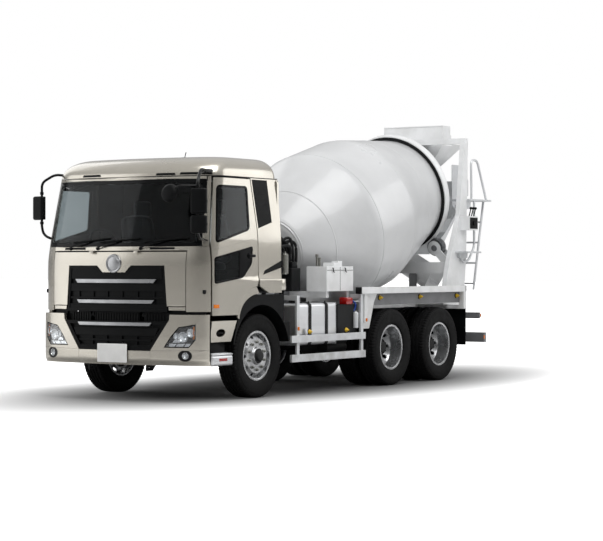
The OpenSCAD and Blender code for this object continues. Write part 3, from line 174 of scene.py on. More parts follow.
# Head lining felt.
FELT = surface("head_lining_felt", "#2C2D2F", "#333436", 40, (0.85, 0.95), 3, 0.35)
# First-surface mirror.
MIRROR = surface("silvered_mirror_glass", "#D8DCDD", "#CDD2D4", 400, (0.01, 0.03), Metallic=1.0)
# Painted plate aluminium, blank.
PLATE = surface("white_painted_plate", "#F0F0EE", "#E8E8E6", 120, (0.3, 0.4), Coat_Weight=0.3)
# Grey enamel of the deck skirts and trestles.
GREY_PAINT = surface("grey_enamel_on_steel", "#6F7072", "#646567", 240, (0.38, 0.52), 40, 0.06,
                     dust=("#5C5852", 0.5, 1.3, 0.3), Coat_Weight=0.15, Coat_Roughness=0.2)
# Dyed nylon air hose.
BLUE_HOSE = surface("blue_nylon_hose", "#1C3F8F", "#17367C", 40, (0.3, 0.42), 4, 0.08)
# Steel kept bare and stained by wet concrete.
CEMENT_STEEL = surface("cement_stained_steel", "#A9A7A2", "#8E8B85", 130, (0.6, 0.85), 14, 0.35, Metallic=0.15)


def woven_cloth():
    """Flat-woven seat cloth: two crossed sets of threads, 1 mm in life and drawn at 6 mm, as bump."""
    made = surface("woven_seat_cloth", "#1F2124", "#2A2C2F", 30, (0.85, 0.95), Sheen_Weight=0.3)
    tree = made.node_tree
    place = add(tree, "TexCoord", "Object")
    threads = [add(tree, "TexWave", 1, bands_direction=way, Vector=place, Scale=1000 / 6 / 20 * 3.14)
               for way in ("Y", "Z")]
    rise = add(tree, "Bump", Strength=0.5, Distance=0.002, Height=product(tree, *threads))
    wire(tree, tree.nodes["Principled BSDF"], Normal=rise)
    return made


SEAT_CLOTH = woven_cloth()
# Slot of the part that each finish fills
SLOT_OF = {finish.name: slot for slot, finishes in (
    ("cab_paint", (CAB_PAINT,)), ("body_white", (WHITE_PAINT, FRAME_WHITE, PLATE)), ("body_grey", (GREY_PAINT,)),
    ("black_plastic", (BLACK_PLASTIC, GLOSS_BLACK, FRIT, TRIM)), ("tinted_glass", (GLASS, MIRROR)),
    ("lamp_glass", (LENS, REFLECTOR, AMBER, RED, YELLOW)), ("guard_steel", (SATIN_CHROME, GUARD_SILVER)),
    ("wheel_steel", (ZINC,)), ("axle_iron", (CAST_IRON,)), ("tyre_rubber", (TYRE_RUBBER,)),
    ("hose_rubber", (HOSE_RUBBER, BLUE_HOSE)), ("chassis_paint", (CHASSIS_BLACK,)),
    ("step_aluminium", (BRUSHED_ALUMINIUM,)), ("seat_fabric", (FELT, SEAT_CLOTH))) for finish in finishes}


# Shapes: each is a pair of points and faces

SKEW = np.array([0.31, 0.17, 0.93])  # a direction that no axis or path here follows
CAB_MIDDLE = np.array([300, 0, 1500])


def unit(v):
    """Directions of length 1."""
    return v / np.maximum(np.linalg.norm(v, axis=-1, keepdims=True), 1e-9)


def outward(normals, points):
    """Unit normals turned to point away from the middle of the cab."""
    n = unit(normals)
    return n * np.sign((n * (points - CAB_MIDDLE)).sum(-1, keepdims=True))


def grid(points, wrap_rows=False, wrap_cols=False):
    """Surface on rows and columns of points: each cell is a face; a wrapped way joins its last line to its first."""
    rows, cols = points.shape[:2]
    i = np.arange(rows - (not wrap_rows))[:, None]
    j = np.arange(cols - (not wrap_cols))[None, :]
    near, far, on = i * cols, (i + 1) % rows * cols, (j + 1) % cols
    faces = np.stack([near + j, near + on, far + on, far + j], -1).reshape(-1, 4)
    return points.reshape(-1, 3), faces.tolist()


def capped(points):
    """Rings of points joined into a tube, with each end drawn to its middle point."""
    ends = [np.repeat(p.mean(0, keepdims=True), points.shape[1], 0)[None] for p in (points[0], points[-1])]
    return grid(np.concatenate([ends[0], points, ends[1]]), wrap_cols=True)


def join(*shapes):
    """Several shapes as one, with each one's face numbers moved past the points before it."""
    starts = np.cumsum([0] + [len(s[0]) for s in shapes[:-1]])
    faces = [[k + a for k in f] for s, a in zip(shapes, starts.tolist()) for f in s[1]]
    return np.concatenate([s[0] for s in shapes]), faces


def sheet(points, t):
    """Bent sheet: a grid of outer points, the same grid moved in by t along its normals, and a strip round each of
    the four edges."""
    inner = points - t * outward(np.cross(np.gradient(points, axis=0), np.gradient(points, axis=1)), points)
    edges = [np.stack([points[k], inner[k]]) for k in (0, -1)]
    edges += [np.stack([points[:, k], inner[:, k]]) for k in (0, -1)]
    return join(grid(points), grid(inner), *[grid(e) for e in edges])


def moved(shape, by):
    """The shape carried by a step."""
    return shape[0] + np.array(by, float), shape[1]


def mirrored(shape):
    """The shape on the other side of the centre line."""
    return shape[0] * [1, -1, 1], shape[1]


def both(*shapes):
    """The shapes and their mirror images across the centre line."""
    shape = join(*shapes)
    return join(shape, mirrored(shape))


def copies(shape, axis, places):
    """The shape repeated at places along an axis."""
    return join(*[moved(shape, d * np.eye(3)["xyz".index(axis)]) for d in places])


def spun(shape, axis, angles, centre=(0, 0, 0)):
    """The shape turned by each angle in degrees about an axis: Rodrigues' formula on all points at once."""
    k, centre = unit(np.array(axis, float)), np.array(centre, float)
    p = shape[0] - centre
    out = [(p * np.cos(t) + np.cross(k, p) * np.sin(t) + np.outer(p @ k, k) * (1 - np.cos(t)) + centre, shape[1])
           for t in np.radians(np.atleast_1d(angles))]
    return join(*out)


def lathe(profile, origin, n=48, axis=(0, 1, 0), ring=False):
    """Turned form: each (radius, distance along) of the profile goes once round the axis; a ring's profile closes
    on itself."""
    axis = unit(np.array(axis, float))
    side = unit(np.cross(axis, SKEW))
    r, s = np.array(profile, float).T
    t = np.linspace(0, 2 * np.pi, n, endpoint=False)[:, None]
    spoke = np.cos(t) * side + np.sin(t) * np.cross(axis, side)
    points = np.array(origin, float) + s[:, None, None] * axis + r[:, None, None] * spoke
    return grid(points, ring, True)


def bend(points, r=60, n=5):
    """Line of points whose inner corners are quadratic curves that start r before each corner."""
    p = np.array(points, float)
    a = p[1:-1] + r * unit(p[:-2] - p[1:-1])
    b = p[1:-1] + r * unit(p[2:] - p[1:-1])
    t = np.linspace(0, 1, n + 1)[:, None, None]
    arcs = (1 - t) ** 2 * a + 2 * t * (1 - t) * p[1:-1] + t * t * b
    return np.concatenate([p[:1], arcs.transpose(1, 0, 2).reshape(-1, p.shape[1]), p[-1:]])


def sweep(path, section, up=SKEW):
    """Section carried along a path: each ring lies square to the path, with its second way towards up."""
    path, section = np.array(path, float), np.array(section, float)
    along = unit(np.gradient(path, axis=0))
    across = unit(np.cross(along, np.array(up, float)))
    rise = np.cross(across, along)
    rings = path[:, None] + section[None, :, :1] * across[:, None] + section[None, :, 1:] * rise[:, None]
    return capped(rings)


def tube(path, r, n=10):
    """Round bar along a path."""
    t = np.linspace(0, 2 * np.pi, n, endpoint=False)
    return sweep(path, r * np.stack([np.cos(t), np.sin(t)], -1))


def bar(a, b, r, n=16):
    """Straight round bar between two points, with a small chamfer at each end."""
    a, b = np.array(a, float), np.array(b, float)
    h, c = np.linalg.norm(b - a), min(2.0, r / 4)
    return lathe([(0, 0), (r - c, 0), (r, c), (r, h - c), (r - c, h), (0, h)], a, n, b - a)


def block(lo, hi, r=6, n=2):
    """Box with rounded edges: each point is a corner of the box drawn in by r, plus r along a direction of the
    sphere."""
    lo, hi = np.minimum(lo, hi).astype(float), np.maximum(lo, hi).astype(float)
    half = (hi - lo) / 2
    r = min(r, half.min() * 0.98)
    quarter_turn = np.linspace(0, np.pi / 2, n + 1)
    turn = (np.arange(4)[:, None] * np.pi / 2 + quarter_turn).ravel()
    sign_x, sign_y = np.repeat([1, -1, -1, 1], n + 1), np.repeat([1, 1, -1, -1], n + 1)
    tilt = np.concatenate([quarter_turn - np.pi / 2, quarter_turn])[:, None]
    sign_z = np.repeat([-1, 1], n + 1)[:, None]
    x = sign_x * (half[0] - r) + r * np.cos(tilt) * np.cos(turn)
    y = sign_y * (half[1] - r) + r * np.cos(tilt) * np.sin(turn)
    z = sign_z * (half[2] - r) + r * np.sin(tilt) + 0 * turn
    return capped(np.stack([x, y, z], -1) + (lo + hi) / 2)


def rect(x0, z0, x1, z1):
    """Upright outline between two corners."""
    return [(x0, z0), (x1, z0), (x1, z1), (x0, z1)]


def wedge(low_half, z0, high_half, z1):
    """Outline that is even about the centre line, with its half width at the foot and at the top."""
    return [(-low_half, z0), (low_half, z0), (high_half, z1), (-high_half, z1)]


def arc(cx, cz, a, b, t0, t1, n):
    """Points along part of an ellipse."""
    t = np.radians(np.linspace(t0, t1, n))
    return np.stack([cx + a * np.cos(t), cz + b * np.sin(t)], -1)


def outline(points, r=0, n=4):
    """Closed outline with rounded corners, run anticlockwise."""
    p = np.array(points, float)
    if np.sum(p[:, 0] * np.roll(p[:, 1], -1) - np.roll(p[:, 0], -1) * p[:, 1]) < 0:
        p = p[::-1]
    if not r:
        return p
    back, on = np.roll(p, 1, 0) - p, np.roll(p, -1, 0) - p
    a = p + unit(back) * np.minimum(r, 0.45 * np.linalg.norm(back, axis=1, keepdims=True))
    b = p + unit(on) * np.minimum(r, 0.45 * np.linalg.norm(on, axis=1, keepdims=True))
    t = np.linspace(0, 1, n + 1)[:, None, None]
    return ((1 - t) ** 2 * a + 2 * t * (1 - t) * p + t * t * b).transpose(1, 0, 2).reshape(-1, 2)


def inset(line, d):
    """Closed anticlockwise outline drawn in by d: each corner moves along the mitre of its two edges."""
    before, after = unit(line - np.roll(line, 1, 0)), unit(np.roll(line, -1, 0) - line)
    n0, n1 = before[:, ::-1] * [-1, 1], after[:, ::-1] * [-1, 1]
    mitre = n0 + n1
    return line + d * mitre / np.maximum((mitre * n1).sum(1, keepdims=True), 0.5)


AXES = {"x": (1, 2, 0), "y": (0, 2, 1)}  # the outline's two ways, then the depth


def plate(points, axis, lo, hi, r=0, roll=3):
    """Flat outline given depth along an axis, with its two rims drawn in by a small roll."""
    line = outline(points, r)
    roll = min(roll, (hi - lo) / 3)
    a, b, c = AXES[axis]
    rings = [(inset(line, roll), lo), (line, lo + roll), (line, hi - roll), (inset(line, roll), hi)]
    out = np.zeros((len(rings), len(line), 3))
    for level, (ring, depth) in zip(out, rings):
        level[:, a], level[:, b], level[:, c] = ring[:, 0], ring[:, 1], depth
    points, faces = grid(out, wrap_cols=True)
    n = len(line)
    return points, faces + [list(range(n)), list(range(3 * n, 4 * n))]


def reach(line, centre, way):
    """Distance from a centre to a closed outline along each direction: the farthest edge that the ray crosses."""
    a = line - centre
    e = np.roll(a, -1, 0) - a
    cross = lambda p, q: p[..., 0] * q[..., 1] - p[..., 1] * q[..., 0]
    turn = cross(way[:, None], e[None])
    turn = np.where(np.abs(turn) < 1e-9, 1e-9, turn)
    t = cross(a, e)[None] / turn
    u = cross(a[None], way[:, None]) / turn
    return np.where((t > 0) & (u > -1e-6) & (u < 1 + 1e-6), t, 0).max(1)


def skin(chart, outer, t, top=0, rows=8, n=64, hole=None, centre=None):
    """Panel on a curved wall, between depths top and top - t: n rays from a centre, and one to each corner, cross
    the hole's outline and the outer one, and rows of points lie between the two crossings; chart gives the place of
    each row. A hole that runs out over the outer line leaves the panel open there."""
    outer = outline(outer)
    lines = outer
    if hole is not None:
        hole = outline(hole)
        lines = np.concatenate([outer, hole])
    centre = np.array(outer.mean(0) if centre is None else centre, float)
    corners = np.arctan2(lines[:, 1] - centre[1], lines[:, 0] - centre[0])
    angle = np.unique(np.round(np.concatenate([corners, np.linspace(-np.pi, np.pi, n, endpoint=False)]), 5))
    way = np.stack([np.cos(angle), np.sin(angle)], -1)
    far = reach(outer, centre, way)
    near = 0 * far if hole is None else reach(hole, centre, way)
    w = np.linspace(0, 1, rows)[:, None]
    spread = (near + (far - near) * w)[..., None] * way + centre
    over, under = [chart(spread[..., 0], spread[..., 1], depth + 0 * w) for depth in (top, top - t)]
    ring = np.concatenate([over, under[::-1]])
    keep = far > near - 0.01
    if not keep.all():
        order = (np.arange(len(keep)) + np.argmin(keep)) % len(keep)
        return grid(ring[:, order[keep[order]]], True)
    return grid(ring, hole is not None, True)


SHARP = np.radians(32)  # edges above this turn are creases


def rolled(obj, width, angle, harden):
    """Rolled edges: a bevel of two segments on each edge above an angle."""
    edge = obj.modifiers.new("rolled edge", "BEVEL")
    edge.width, edge.segments, edge.limit_method = width / 1000, 2, "ANGLE"
    edge.angle_limit, edge.harden_normals = angle, harden


def piece(name, body, finish, *shapes, bevel=0, slot=None, node=()):
    """Object from shapes: metres from the frame's origin, doubles merged, faces outward, creases sharp; it rides a body
    and can take the place of nodes; its slot is looked up but not kept."""
    points, faces = join(*shapes)
    mesh = bpy.data.meshes.new(name)
    mesh.from_pydata((points / 1000 + [AXLE_X / 1000, 0, 0]).tolist(), [], faces)
    work = bmesh.new()
    work.from_mesh(mesh)
    bmesh.ops.remove_doubles(work, verts=work.verts, dist=2e-5)
    bmesh.ops.dissolve_degenerate(work, edges=work.edges, dist=1e-6)
    bmesh.ops.recalc_face_normals(work, faces=work.faces)
    work.to_mesh(mesh)
    work.free()
    mesh.polygons.foreach_set("use_smooth", np.ones(len(mesh.polygons), bool))
    mesh.set_sharp_from_angle(angle=SHARP)
    mesh.materials.append(finish)
    made = bpy.data.objects.new(name, mesh)
    scene.collection.objects.link(made)
    if bevel:
        rolled(made, bevel, np.radians(50), True)
    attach(made, body)
    slot or SLOT_OF[finish.name]
    nodes = (node,) if isinstance(node, str) else node
    if nodes:
        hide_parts(*nodes)
    return made


# Stage: pale floor with a painted shadow under the truck, white surround and soft lamps

# Place of the camera in metres from the front axle, turns in degrees, focal length in pixels, picture width
CAMERA_AT, YAW, PITCH, FOCAL, PIXELS = (19.838, 14.522, 1.590), -147.26, -0.14, 1992.6, 603
SENSOR = 36
# Name, place, aim, side in metres and power in watts
LAMPS = (("key", (4, 5, 11), (0.5, 0, 1.5), 9, 1000), ("front", (10.5, -9.5, 4), (3, 0, 1.2), 8, 290),
         ("side", (-9, 9, 5.9), (-2, 0, 1.5), 7.4, 310), ("far", (-2, -12, 8), (0, 0, 1.5), 9, 260))
CAMERA_SIDE = (0.6, 0.8, 0.0)
# Size of the oval of painted shadow on the floor
PAINTED_SHADOW_SIZE = (6.4, 2.7)  # half length and half width of the dark patch of floor, in metres
FLOOR_HALF = 150


def view():
    """Camera where the picture was taken from."""
    camera = bpy.data.objects.new("camera", bpy.data.cameras.new("camera"))
    camera.data.sensor_fit, camera.data.sensor_width = "HORIZONTAL", SENSOR
    camera.data.lens = SENSOR * FOCAL / PIXELS
    camera.data.clip_end = 400  # metres, past the floor's edge
    camera.location = (CAMERA_AT[0] + AXLE_X / 1000, *CAMERA_AT[1:])
    camera.rotation_euler = (np.pi / 2 + np.radians(PITCH), 0, np.radians(YAW) - np.pi / 2)
    scene.collection.objects.link(camera)
    scene.camera = camera
    scene.view_settings.view_transform = "Standard"


def surround():
    """World that is white to the camera and through glass; its light grows with height and is dim on the camera's
    side."""
    world = bpy.data.worlds.new("studio")
    scene.world = world
    world.use_nodes = True
    tree = world.node_tree
    straight, through = [add(tree, "LightPath", ray) for ray in ("Is Camera Ray", "Is Transmission Ray")]
    seen = add(tree, "Math", operation="MAXIMUM", _0=straight, _1=through)
    way = add(tree, "TexCoord", "Generated")
    sky = ranged(tree, add(tree, "SeparateXYZ", 2, Vector=way), -0.05, 0.65, 0.2, 0.7)
    side = add(tree, "VectorMath", "Value", operation="DOT_PRODUCT", _0=way, _1=CAMERA_SIDE)
    light = product(tree, sky, ranged(tree, side, 0.55, 0.98, 1.0, 0.12))
    level = add(tree, "Mix", _0=seen, _2=light, _3=1.0)
    wire(tree, tree.nodes["Background"], Strength=level, Color=(1, 1, 1, 1))


def ground():
    """Floor with a painted shadow: its colour is dark grey under the truck and fades to white in an oval round it,
    where its glow to the camera fades in.
    """
    mesh = bpy.data.meshes.new("floor")
    mesh.from_pydata([(*p, 0) for p in rect(-FLOOR_HALF, -FLOOR_HALF, FLOOR_HALF, FLOOR_HALF)], [], [(0, 1, 2, 3)])
    floor = bpy.data.objects.new("floor", mesh)
    pale = bpy.data.materials.new("floor_with_painted_shadow")
    pale.use_nodes = True
    tree = pale.node_tree
    shrink = (1 / PAINTED_SHADOW_SIZE[0], 1 / PAINTED_SHADOW_SIZE[1], 0.0)
    spot = add(tree, "VectorMath", "Vector", operation="MULTIPLY", _0=add(tree, "TexCoord", "Object"), _1=shrink)
    away = add(tree, "VectorMath", "Value", operation="LENGTH", _0=spot)
    fade = ranged(tree, away, 0.4, 1.5, interpolation_type="SMOOTHSTEP")
    lift = product(tree, add(tree, "LightPath", "Is Camera Ray"), fade)
    # Painted shadow: the floor's colour is dark grey inside the oval round the truck and white outside it
    tone = mixed(tree, fade, linear("#5A5A5A"), linear("#F2F2F2"))
    wire(tree, tree.nodes["Principled BSDF"], Base_Color=tone, Roughness=0.9, Emission_Color=(1, 1, 1, 1),
         Emission_Strength=lift)
    mesh.materials.append(pale)
    scene.collection.objects.link(floor)


def lamps():
    """Area lamps, each turned to its aim."""
    for name, place, aim, size, power in LAMPS:
        lamp = bpy.data.objects.new(name, bpy.data.lights.new(name, "AREA"))
        lamp.data.size, lamp.data.energy = size, power
        lamp.location = place
        x, y, z = unit(np.array(aim, float) - place)
        lamp.rotation_euler = (np.arccos(-z), 0, np.arctan2(y, x) - np.pi / 2)
        scene.collection.objects.link(lamp)


# Walls of the cab and bumper

BOW = 800  # side distance where the front begins to turn into the side
BUMPER_ARC, BUMPER_OUT = 500, 410  # length round the bumper's corner, and how far it goes out


def step(v, lo, hi):
    """Smooth rise from 0 to 1 between two values."""
    t = np.clip((v - lo) / (hi - lo), 0, 1)
    return t * t * (3 - 2 * t)


def side_line(z):
    """Half the width of the cab: straight to the belt, then leaning in to the roof."""
    return 1240 - 55 * np.clip((z - 1900) / 740, 0, 1)


def turned_in(y, start, end, most=1.0):
    """How far a front corner lies back: a quarter ellipse between two side distances, held out by a power."""
    q = np.clip((np.abs(y) - start) / (end - start), 0, most) ** 1.7
    return 246 * (1 - np.sqrt(1 - q * q))


def nose_line(y, z):
    """Front of the cab: the upright lid and the raked screen meet in a soft corner, the plan bows back with the
    square of the side distance and turns into the side."""
    lid, screen = 1340.0, 1305 - (z - 1815) * np.tan(np.radians(12.3))
    soft = (lid + screen - np.hypot(lid - screen, 14)) / 2
    return soft - 60 * (y / BOW) ** 2 - turned_in(y, BOW, side_line(z))


def flank(x, z):
    """Half width of the cab at a length: the range is halved until the nose line lies at x; a crease lies along the
    lower side and fades out forwards."""
    lo, hi = 700 + 0 * x + 0 * z, side_line(z) + 0 * x
    for _ in range(30):
        mid = (lo + hi) / 2
        ahead = nose_line(mid, z) > x
        lo, hi = np.where(ahead, mid, lo), np.where(ahead, hi, mid)
    return (lo + hi) / 2 - 9 * step(z, 1425, 1452) * step(-x, -700, -150)


def arc_of(y):
    """Length round the bumper at a side distance."""
    return y if y < BOW else BOW + BUMPER_ARC * 2 / np.pi * np.arcsin((y - BOW) / BUMPER_OUT)


def bumper_wall(a, z):
    """Bumper face by length round it and height: bowed to the corner, then a quarter ellipse; the foot tucks under
    and the top leans back."""
    t = np.clip((np.abs(a) - BOW) / BUMPER_ARC, 0, 1) * np.pi / 2
    y = np.minimum(np.abs(a), BOW) + BUMPER_OUT * np.sin(t)
    tuck, lean = 24 * step(-z, -500, -430), np.maximum(z - 760, 0) * 18 / 1240
    x = 1355 - tuck - lean - 60 * (y / BOW) ** 2 - 128 * (1 - np.cos(t)) ** 1.8
    return np.stack([x, np.sign(a) * y, z + 0 * a], -1)


def charted(place):
    """Wall with depth: its place plus depth along its normal, the cross product of two small steps."""
    def chart(u, v, depth):
        """Points of the wall at a depth."""
        p = place(u, v)
        n = np.cross(place(u + 0.5, v) - place(u - 0.5, v), place(u, v + 0.5) - place(u, v - 0.5))
        return p + outward(n, p) * (depth + 0 * u)[..., None]
    return chart


FRONT = charted(lambda y, z: np.stack([nose_line(y, z), y, z], -1))
SIDE = charted(lambda x, z: np.stack([x, flank(x, z), z], -1))
BUMPER = charted(bumper_wall)


def on_wall(chart, u, v, depth=0.0):
    """Point of a wall at a depth, and the wall's outward direction there."""
    u, v = np.array([float(u)]), np.array([float(v)])
    p = chart(u, v, depth)[0]
    return p, chart(u, v, depth + 1)[0] - p


def corner(z0, z1, edge, slope):
    """Front corner of the cab: from an edge at a side distance, which draws in by a slope above the cowl, round to
    the door's front edge, with closer points where it turns."""
    z = np.linspace(z0, z1, 40)[:, None]
    y0 = edge - (z - 1815) * slope
    y1 = flank(1069 - 137 * np.clip((z - 1850) / 776, 0, 1), z)
    y = y0 + (y1 - y0) * np.sin(np.linspace(0, np.pi / 2, 18))
    z = z + 0 * y
    return sheet(np.stack([nose_line(y, z), y, z], -1), 30)


# Cab body; a name that ends in MID is the centre that a panel's rays leave from

WHEEL_ARCH = arc(100, 950, 468, 398, 84, 9, 12)
UPPER_QUARTER = [(208, 2632), (124, 2019), (112, 1437), (-376, 1437), (-376, 2632)]
QUARTER_PANE = [(186, 2616), (-140, 2616), (-196, 2112), (104, 2034)]
pillars = both(corner(1056, 1813, 984, 0), corner(1817, 2632, 1129, 34 / 781))
cowl = skin(FRONT, wedge(981, 1766, 981, 1813), 40, 0, 6, 120)
header = skin(FRONT, wedge(1088, 2600, 1084, 2633), 40, 0, 6, 120)
piece("cab_front_panels", "cab", CAB_PAINT, pillars, cowl, header, bevel=3, node="cab_shell")
quarter = skin(SIDE, UPPER_QUARTER, 30, 0, 8, 96, QUARTER_PANE, (0, 2300))
wing = skin(SIDE, [(104, 1433), (-376, 1433), (-376, 1262), (-100, 1262), (92, 1345)], 30, 0, 6, 60)
wing_tail = block((-480, 1150, 1290), (-370, 1238, 1430), 14)
piece("cab_side_panels", "cab", CAB_PAINT, both(quarter, wing, wing_tail), bevel=3,
      node=("cab_side_left", "cab_side_right"))
arch_out, arch_in = arc(100, 950, 464, 394, 4, 82, 24), arc(100, 950, 424, 304, 2, 90, 24)
share = np.linspace(0, 1, 5)[:, None, None]
band_x, band_z = np.moveaxis(arch_out * (1 - share) + arch_in * share, -1, 0)
fender = sheet(np.stack([band_x, flank(band_x, band_z) - 2, band_z], -1), 28)
piece("wheel_arch_rims", "cab", CAB_PAINT, both(fender), bevel=3, node="cab_side_left")
rear_wall = plate(wedge(1200, 1262, 1200, 2636), "x", -372, -330, 60)
wall_ribs = copies(block((-380, -900, 1500), (-368, 900, 1560), 5), "z", (0, 260, 520, 780))
piece("cab_back_panel", "cab", CAB_PAINT, rear_wall, wall_ribs, node="cab_rear")

ROOF_FOOT, ROOF_RISE, REAR_CORNER = 2640, 236, 110  # two heights, and the radius of the rear corners


def roof_size(a, lift=0.0):
    """Front and half width of the roof's plan line, which draws in along a quarter turn."""
    return 700 + 425 * np.cos(a) - lift, 965 + 220 * np.cos(a) - lift


def roof_nose(y, front, half, most=1.0):
    """Front of a plan line: bowed, and turned into the side."""
    return front - 132 * (y / half) ** 2 - turned_in(y, 0.675 * half, half, most)


def roof_ring(front, half, rear, z):
    """Closed plan line of the roof: its front, straight sides and round rear corners."""
    y = half * np.sin(np.linspace(0, np.pi / 2, 30))
    nose = np.stack([roof_nose(y, front, half), y], -1)
    t = np.linspace(0, np.pi / 2, 8)
    inner_x, inner_y = rear + REAR_CORNER, half - REAR_CORNER
    tail = np.stack([inner_x - REAR_CORNER * np.sin(t), inner_y + REAR_CORNER * np.cos(t)], -1)
    left = np.concatenate([nose, [[(nose[-1, 0] + rear) / 2, half]], tail, [[rear, half / 2], [rear, 0]]])
    ring = np.concatenate([left, left[-2:0:-1] * [1, -1]])
    return np.column_stack([ring, np.full(len(ring), z)])


def roof(lift=0.0):
    """Roof: plan lines that draw in up to the flat top, then shrink to a point on a slight crown; lift is how far
    the sheet lies inside."""
    rings = [roof_ring(*roof_size(a, lift), -200 - 180 * np.cos(a) ** 0.5 + lift,
                       ROOF_FOOT + (ROOF_RISE - lift) * np.sin(a)) for a in np.linspace(0, np.pi / 2, 14)]
    top, middle = rings[-1], np.array([260, 0, 2880.0 - lift])
    return np.stack(rings + [middle * (1 - k) + top * k for k in (0.8, 0.55, 0.3, 0.0)])


piece("cab_roof_shell", "cab", CAB_PAINT, grid(np.concatenate([roof(), roof(34)[::-1]]), True, True), node="cab_roof")
piece("head_lining", "cab", FELT, grid(roof(40), False, True))
floor_pan = block((-325, -1180, 1262), (1150, 1180, 1310), 8)
bulkhead = block((1150, -976, 1060), (1178, 976, 1800))
arms = both(plate([(1261, 1000), (1178, 1322), (1130, 1322), (1130, 1266), (1209, 1000)], "y", 356, 384, 12))
piece("cab_floor_and_bulkhead", "cab", CHASSIS_BLACK, floor_pan, bulkhead, arms, node="cab_shell")

# Front lid and upper grille

GRILLE_MID = (0, 1300)
GRILLE = outline([(-747, 1050), (747, 1050), (742, 1120), (708, 1592), (250, 1592), (165, 1512), (-165, 1512),
                  (-250, 1592), (-708, 1592), (-742, 1120)])
piece("lid_panel", "lid", CAB_PAINT, skin(FRONT, wedge(976, 1120, 976, 1750), 40, 0, 9, 160, GRILLE, GRILLE_MID),
      bevel=4, node="front_lid")
piece("lid_knuckles", "lid", CAB_PAINT, both(bar((1342, 300.5, 1758), (1342, 360, 1758), 6),
                                             block((1292, 301, 1736), (1347, 359, 1757), 3)), node="front_lid")


def bright_bar(chart, z, thick, half, slope):
    """Bar across the front, proud of the wall, with ends that slant in downwards."""
    return skin(chart, wedge(half - slope, z - thick / 2, half, z + thick / 2), 26, 5, 3, 80)


def stiles(chart, places, half, z0, z1, t, top, rows, n):
    """Upright strips of a half width at places across the front."""
    return join(*[skin(chart, rect(y - half, z0, y + half, z1), t, top, rows, n) for y in places])


backing = skin(FRONT, inset(GRILLE, 1.5), 6, -34, 8, 120, centre=GRILLE_MID)
surround_ring = skin(FRONT, inset(GRILLE, 1.5), 26, -9, 3, 120, inset(GRILLE, 34), GRILLE_MID)
brow = skin(FRONT, [(-676, 1436), (676, 1436), (664, 1560), (250, 1560), (176, 1488), (-176, 1488), (-250, 1560),
                    (-664, 1560)], 22, -13, 5, 100, centre=(0, 1462))
louvres = join(*[skin(FRONT, wedge(half, z0, half - 4, z1), 20, -16, 3, 90)
                 for half, z0, z1 in ((690, 1290, 1380), (700, 1200, 1222), (712, 1080, 1138))])
piece("upper_grille_frame", "lid", BLACK_PLASTIC, backing, surround_ring, brow, louvres,
      stiles(FRONT, (-560, -330, -110, 110, 330, 560), 9, 1100, 1300, 14, -20, 4, 24), bevel=2, node="upper_grille")
piece("upper_grille_bars", "lid", SATIN_CHROME, bright_bar(FRONT, 1409, 46, 600, 38),
      bright_bar(FRONT, 1168, 42, 574, 36), bevel=3, node="upper_grille")
piece("badge_disc", "lid", SATIN_CHROME, lathe([(0, 14), (62, 13), (76, 10), (80, 6), (98, 12), (108, 8), (112, -2),
                                                (112, -26), (0, -26)], (1338, 0, 1614), 56, (1, 0, 0)))
end_block = skin(FRONT, [(764, 1070), (974, 1070), (974, 1112), (758, 1112)], 24, -8, 4, 50)
piece("lid_end_blocks", "cab", CAB_PAINT, both(end_block), bevel=4)

# Bumper and lower grille

LOWER = outline(wedge(530, 600, 766, 943))
LAMP_MID, FOG_AT = (930, 760), np.array([arc_of(985), 548])
LAMP = [(708, 640), (arc_of(1026), 640), (arc_of(1104), 730), (arc_of(1104), 915), (arc_of(899), 880)]
FOG = outline(FOG_AT + 66 * arc(0, 0, 1.15, 1, 0, 345, 24))
lamp_panel = skin(BUMPER, [(532, 602), (779, 958), (784, 1022), (1298, 1022), (1298, 616)], 36, 0, 8, 120, LAMP,
                  LAMP_MID)
fog_panel = skin(BUMPER, [(532, 600), (1298, 614), (1298, 432), (532, 432)], 36, 0, 8, 120, FOG, FOG_AT)
lip = skin(BUMPER, wedge(529, 432, 529, 598), 36, 0, 8, 100)
piece("bumper_panels", "chassis", CAB_PAINT, both(lamp_panel, fog_panel), lip, bevel=4, node="bumper")
low_backing = skin(BUMPER, wedge(570, 560, 790, 930), 6, -40, 6, 90)
low_frame = skin(BUMPER, inset(LOWER, 1.5), 26, -8, 3, 120, inset(LOWER, 46), (0, 780))
low_slats = join(*[skin(BUMPER, wedge(half, z0, half + spread, z1), 20, -14, 3, 90)
                   for half, spread, z0, z1 in ((590, 40, 770, 862), (530, 14, 706, 728), (505, 8, 640, 662))])
piece("lower_grille_frame", "chassis", BLACK_PLASTIC, low_backing, low_frame, low_slats,
      stiles(BUMPER, (-330, -110, 110, 330), 9, 640, 790, 14, -20, 4, 24), bevel=2, node="lower_grille")
piece("lower_grille_bar", "chassis", SATIN_CHROME, bright_bar(BUMPER, 906, 40, 550, 34), bevel=3, node="lower_grille")
gap_panel = join(*[skin(BUMPER, rect(a, 925, b, 1046), 8, -72, 4, 60)
                   for a, b in ((-830, -404), (-336, 336), (404, 830))],
                 both(skin(BUMPER, rect(780, 980, 950, 1062), 8, -52, 4, 30)))
# The fins leave out the slots that the cab's tilt arms pass through
fin_places = [y for y in np.linspace(-680, 680, 35) if abs(abs(y) - 370) > 42]
piece("front_gap_panel", "chassis", BLACK_PLASTIC, gap_panel,
      stiles(BUMPER, fin_places, 3, 936, 1036, 8, -64, 3, 12))
piece("number_plate", "chassis", PLATE, plate(wedge(220, 455, 220, 675), "x", 1362, 1370, 12))
piece("number_plate_holder", "chassis", BLACK_PLASTIC, block((1320, -180, 480), (1362, 180, 640)))

# Glass and doors

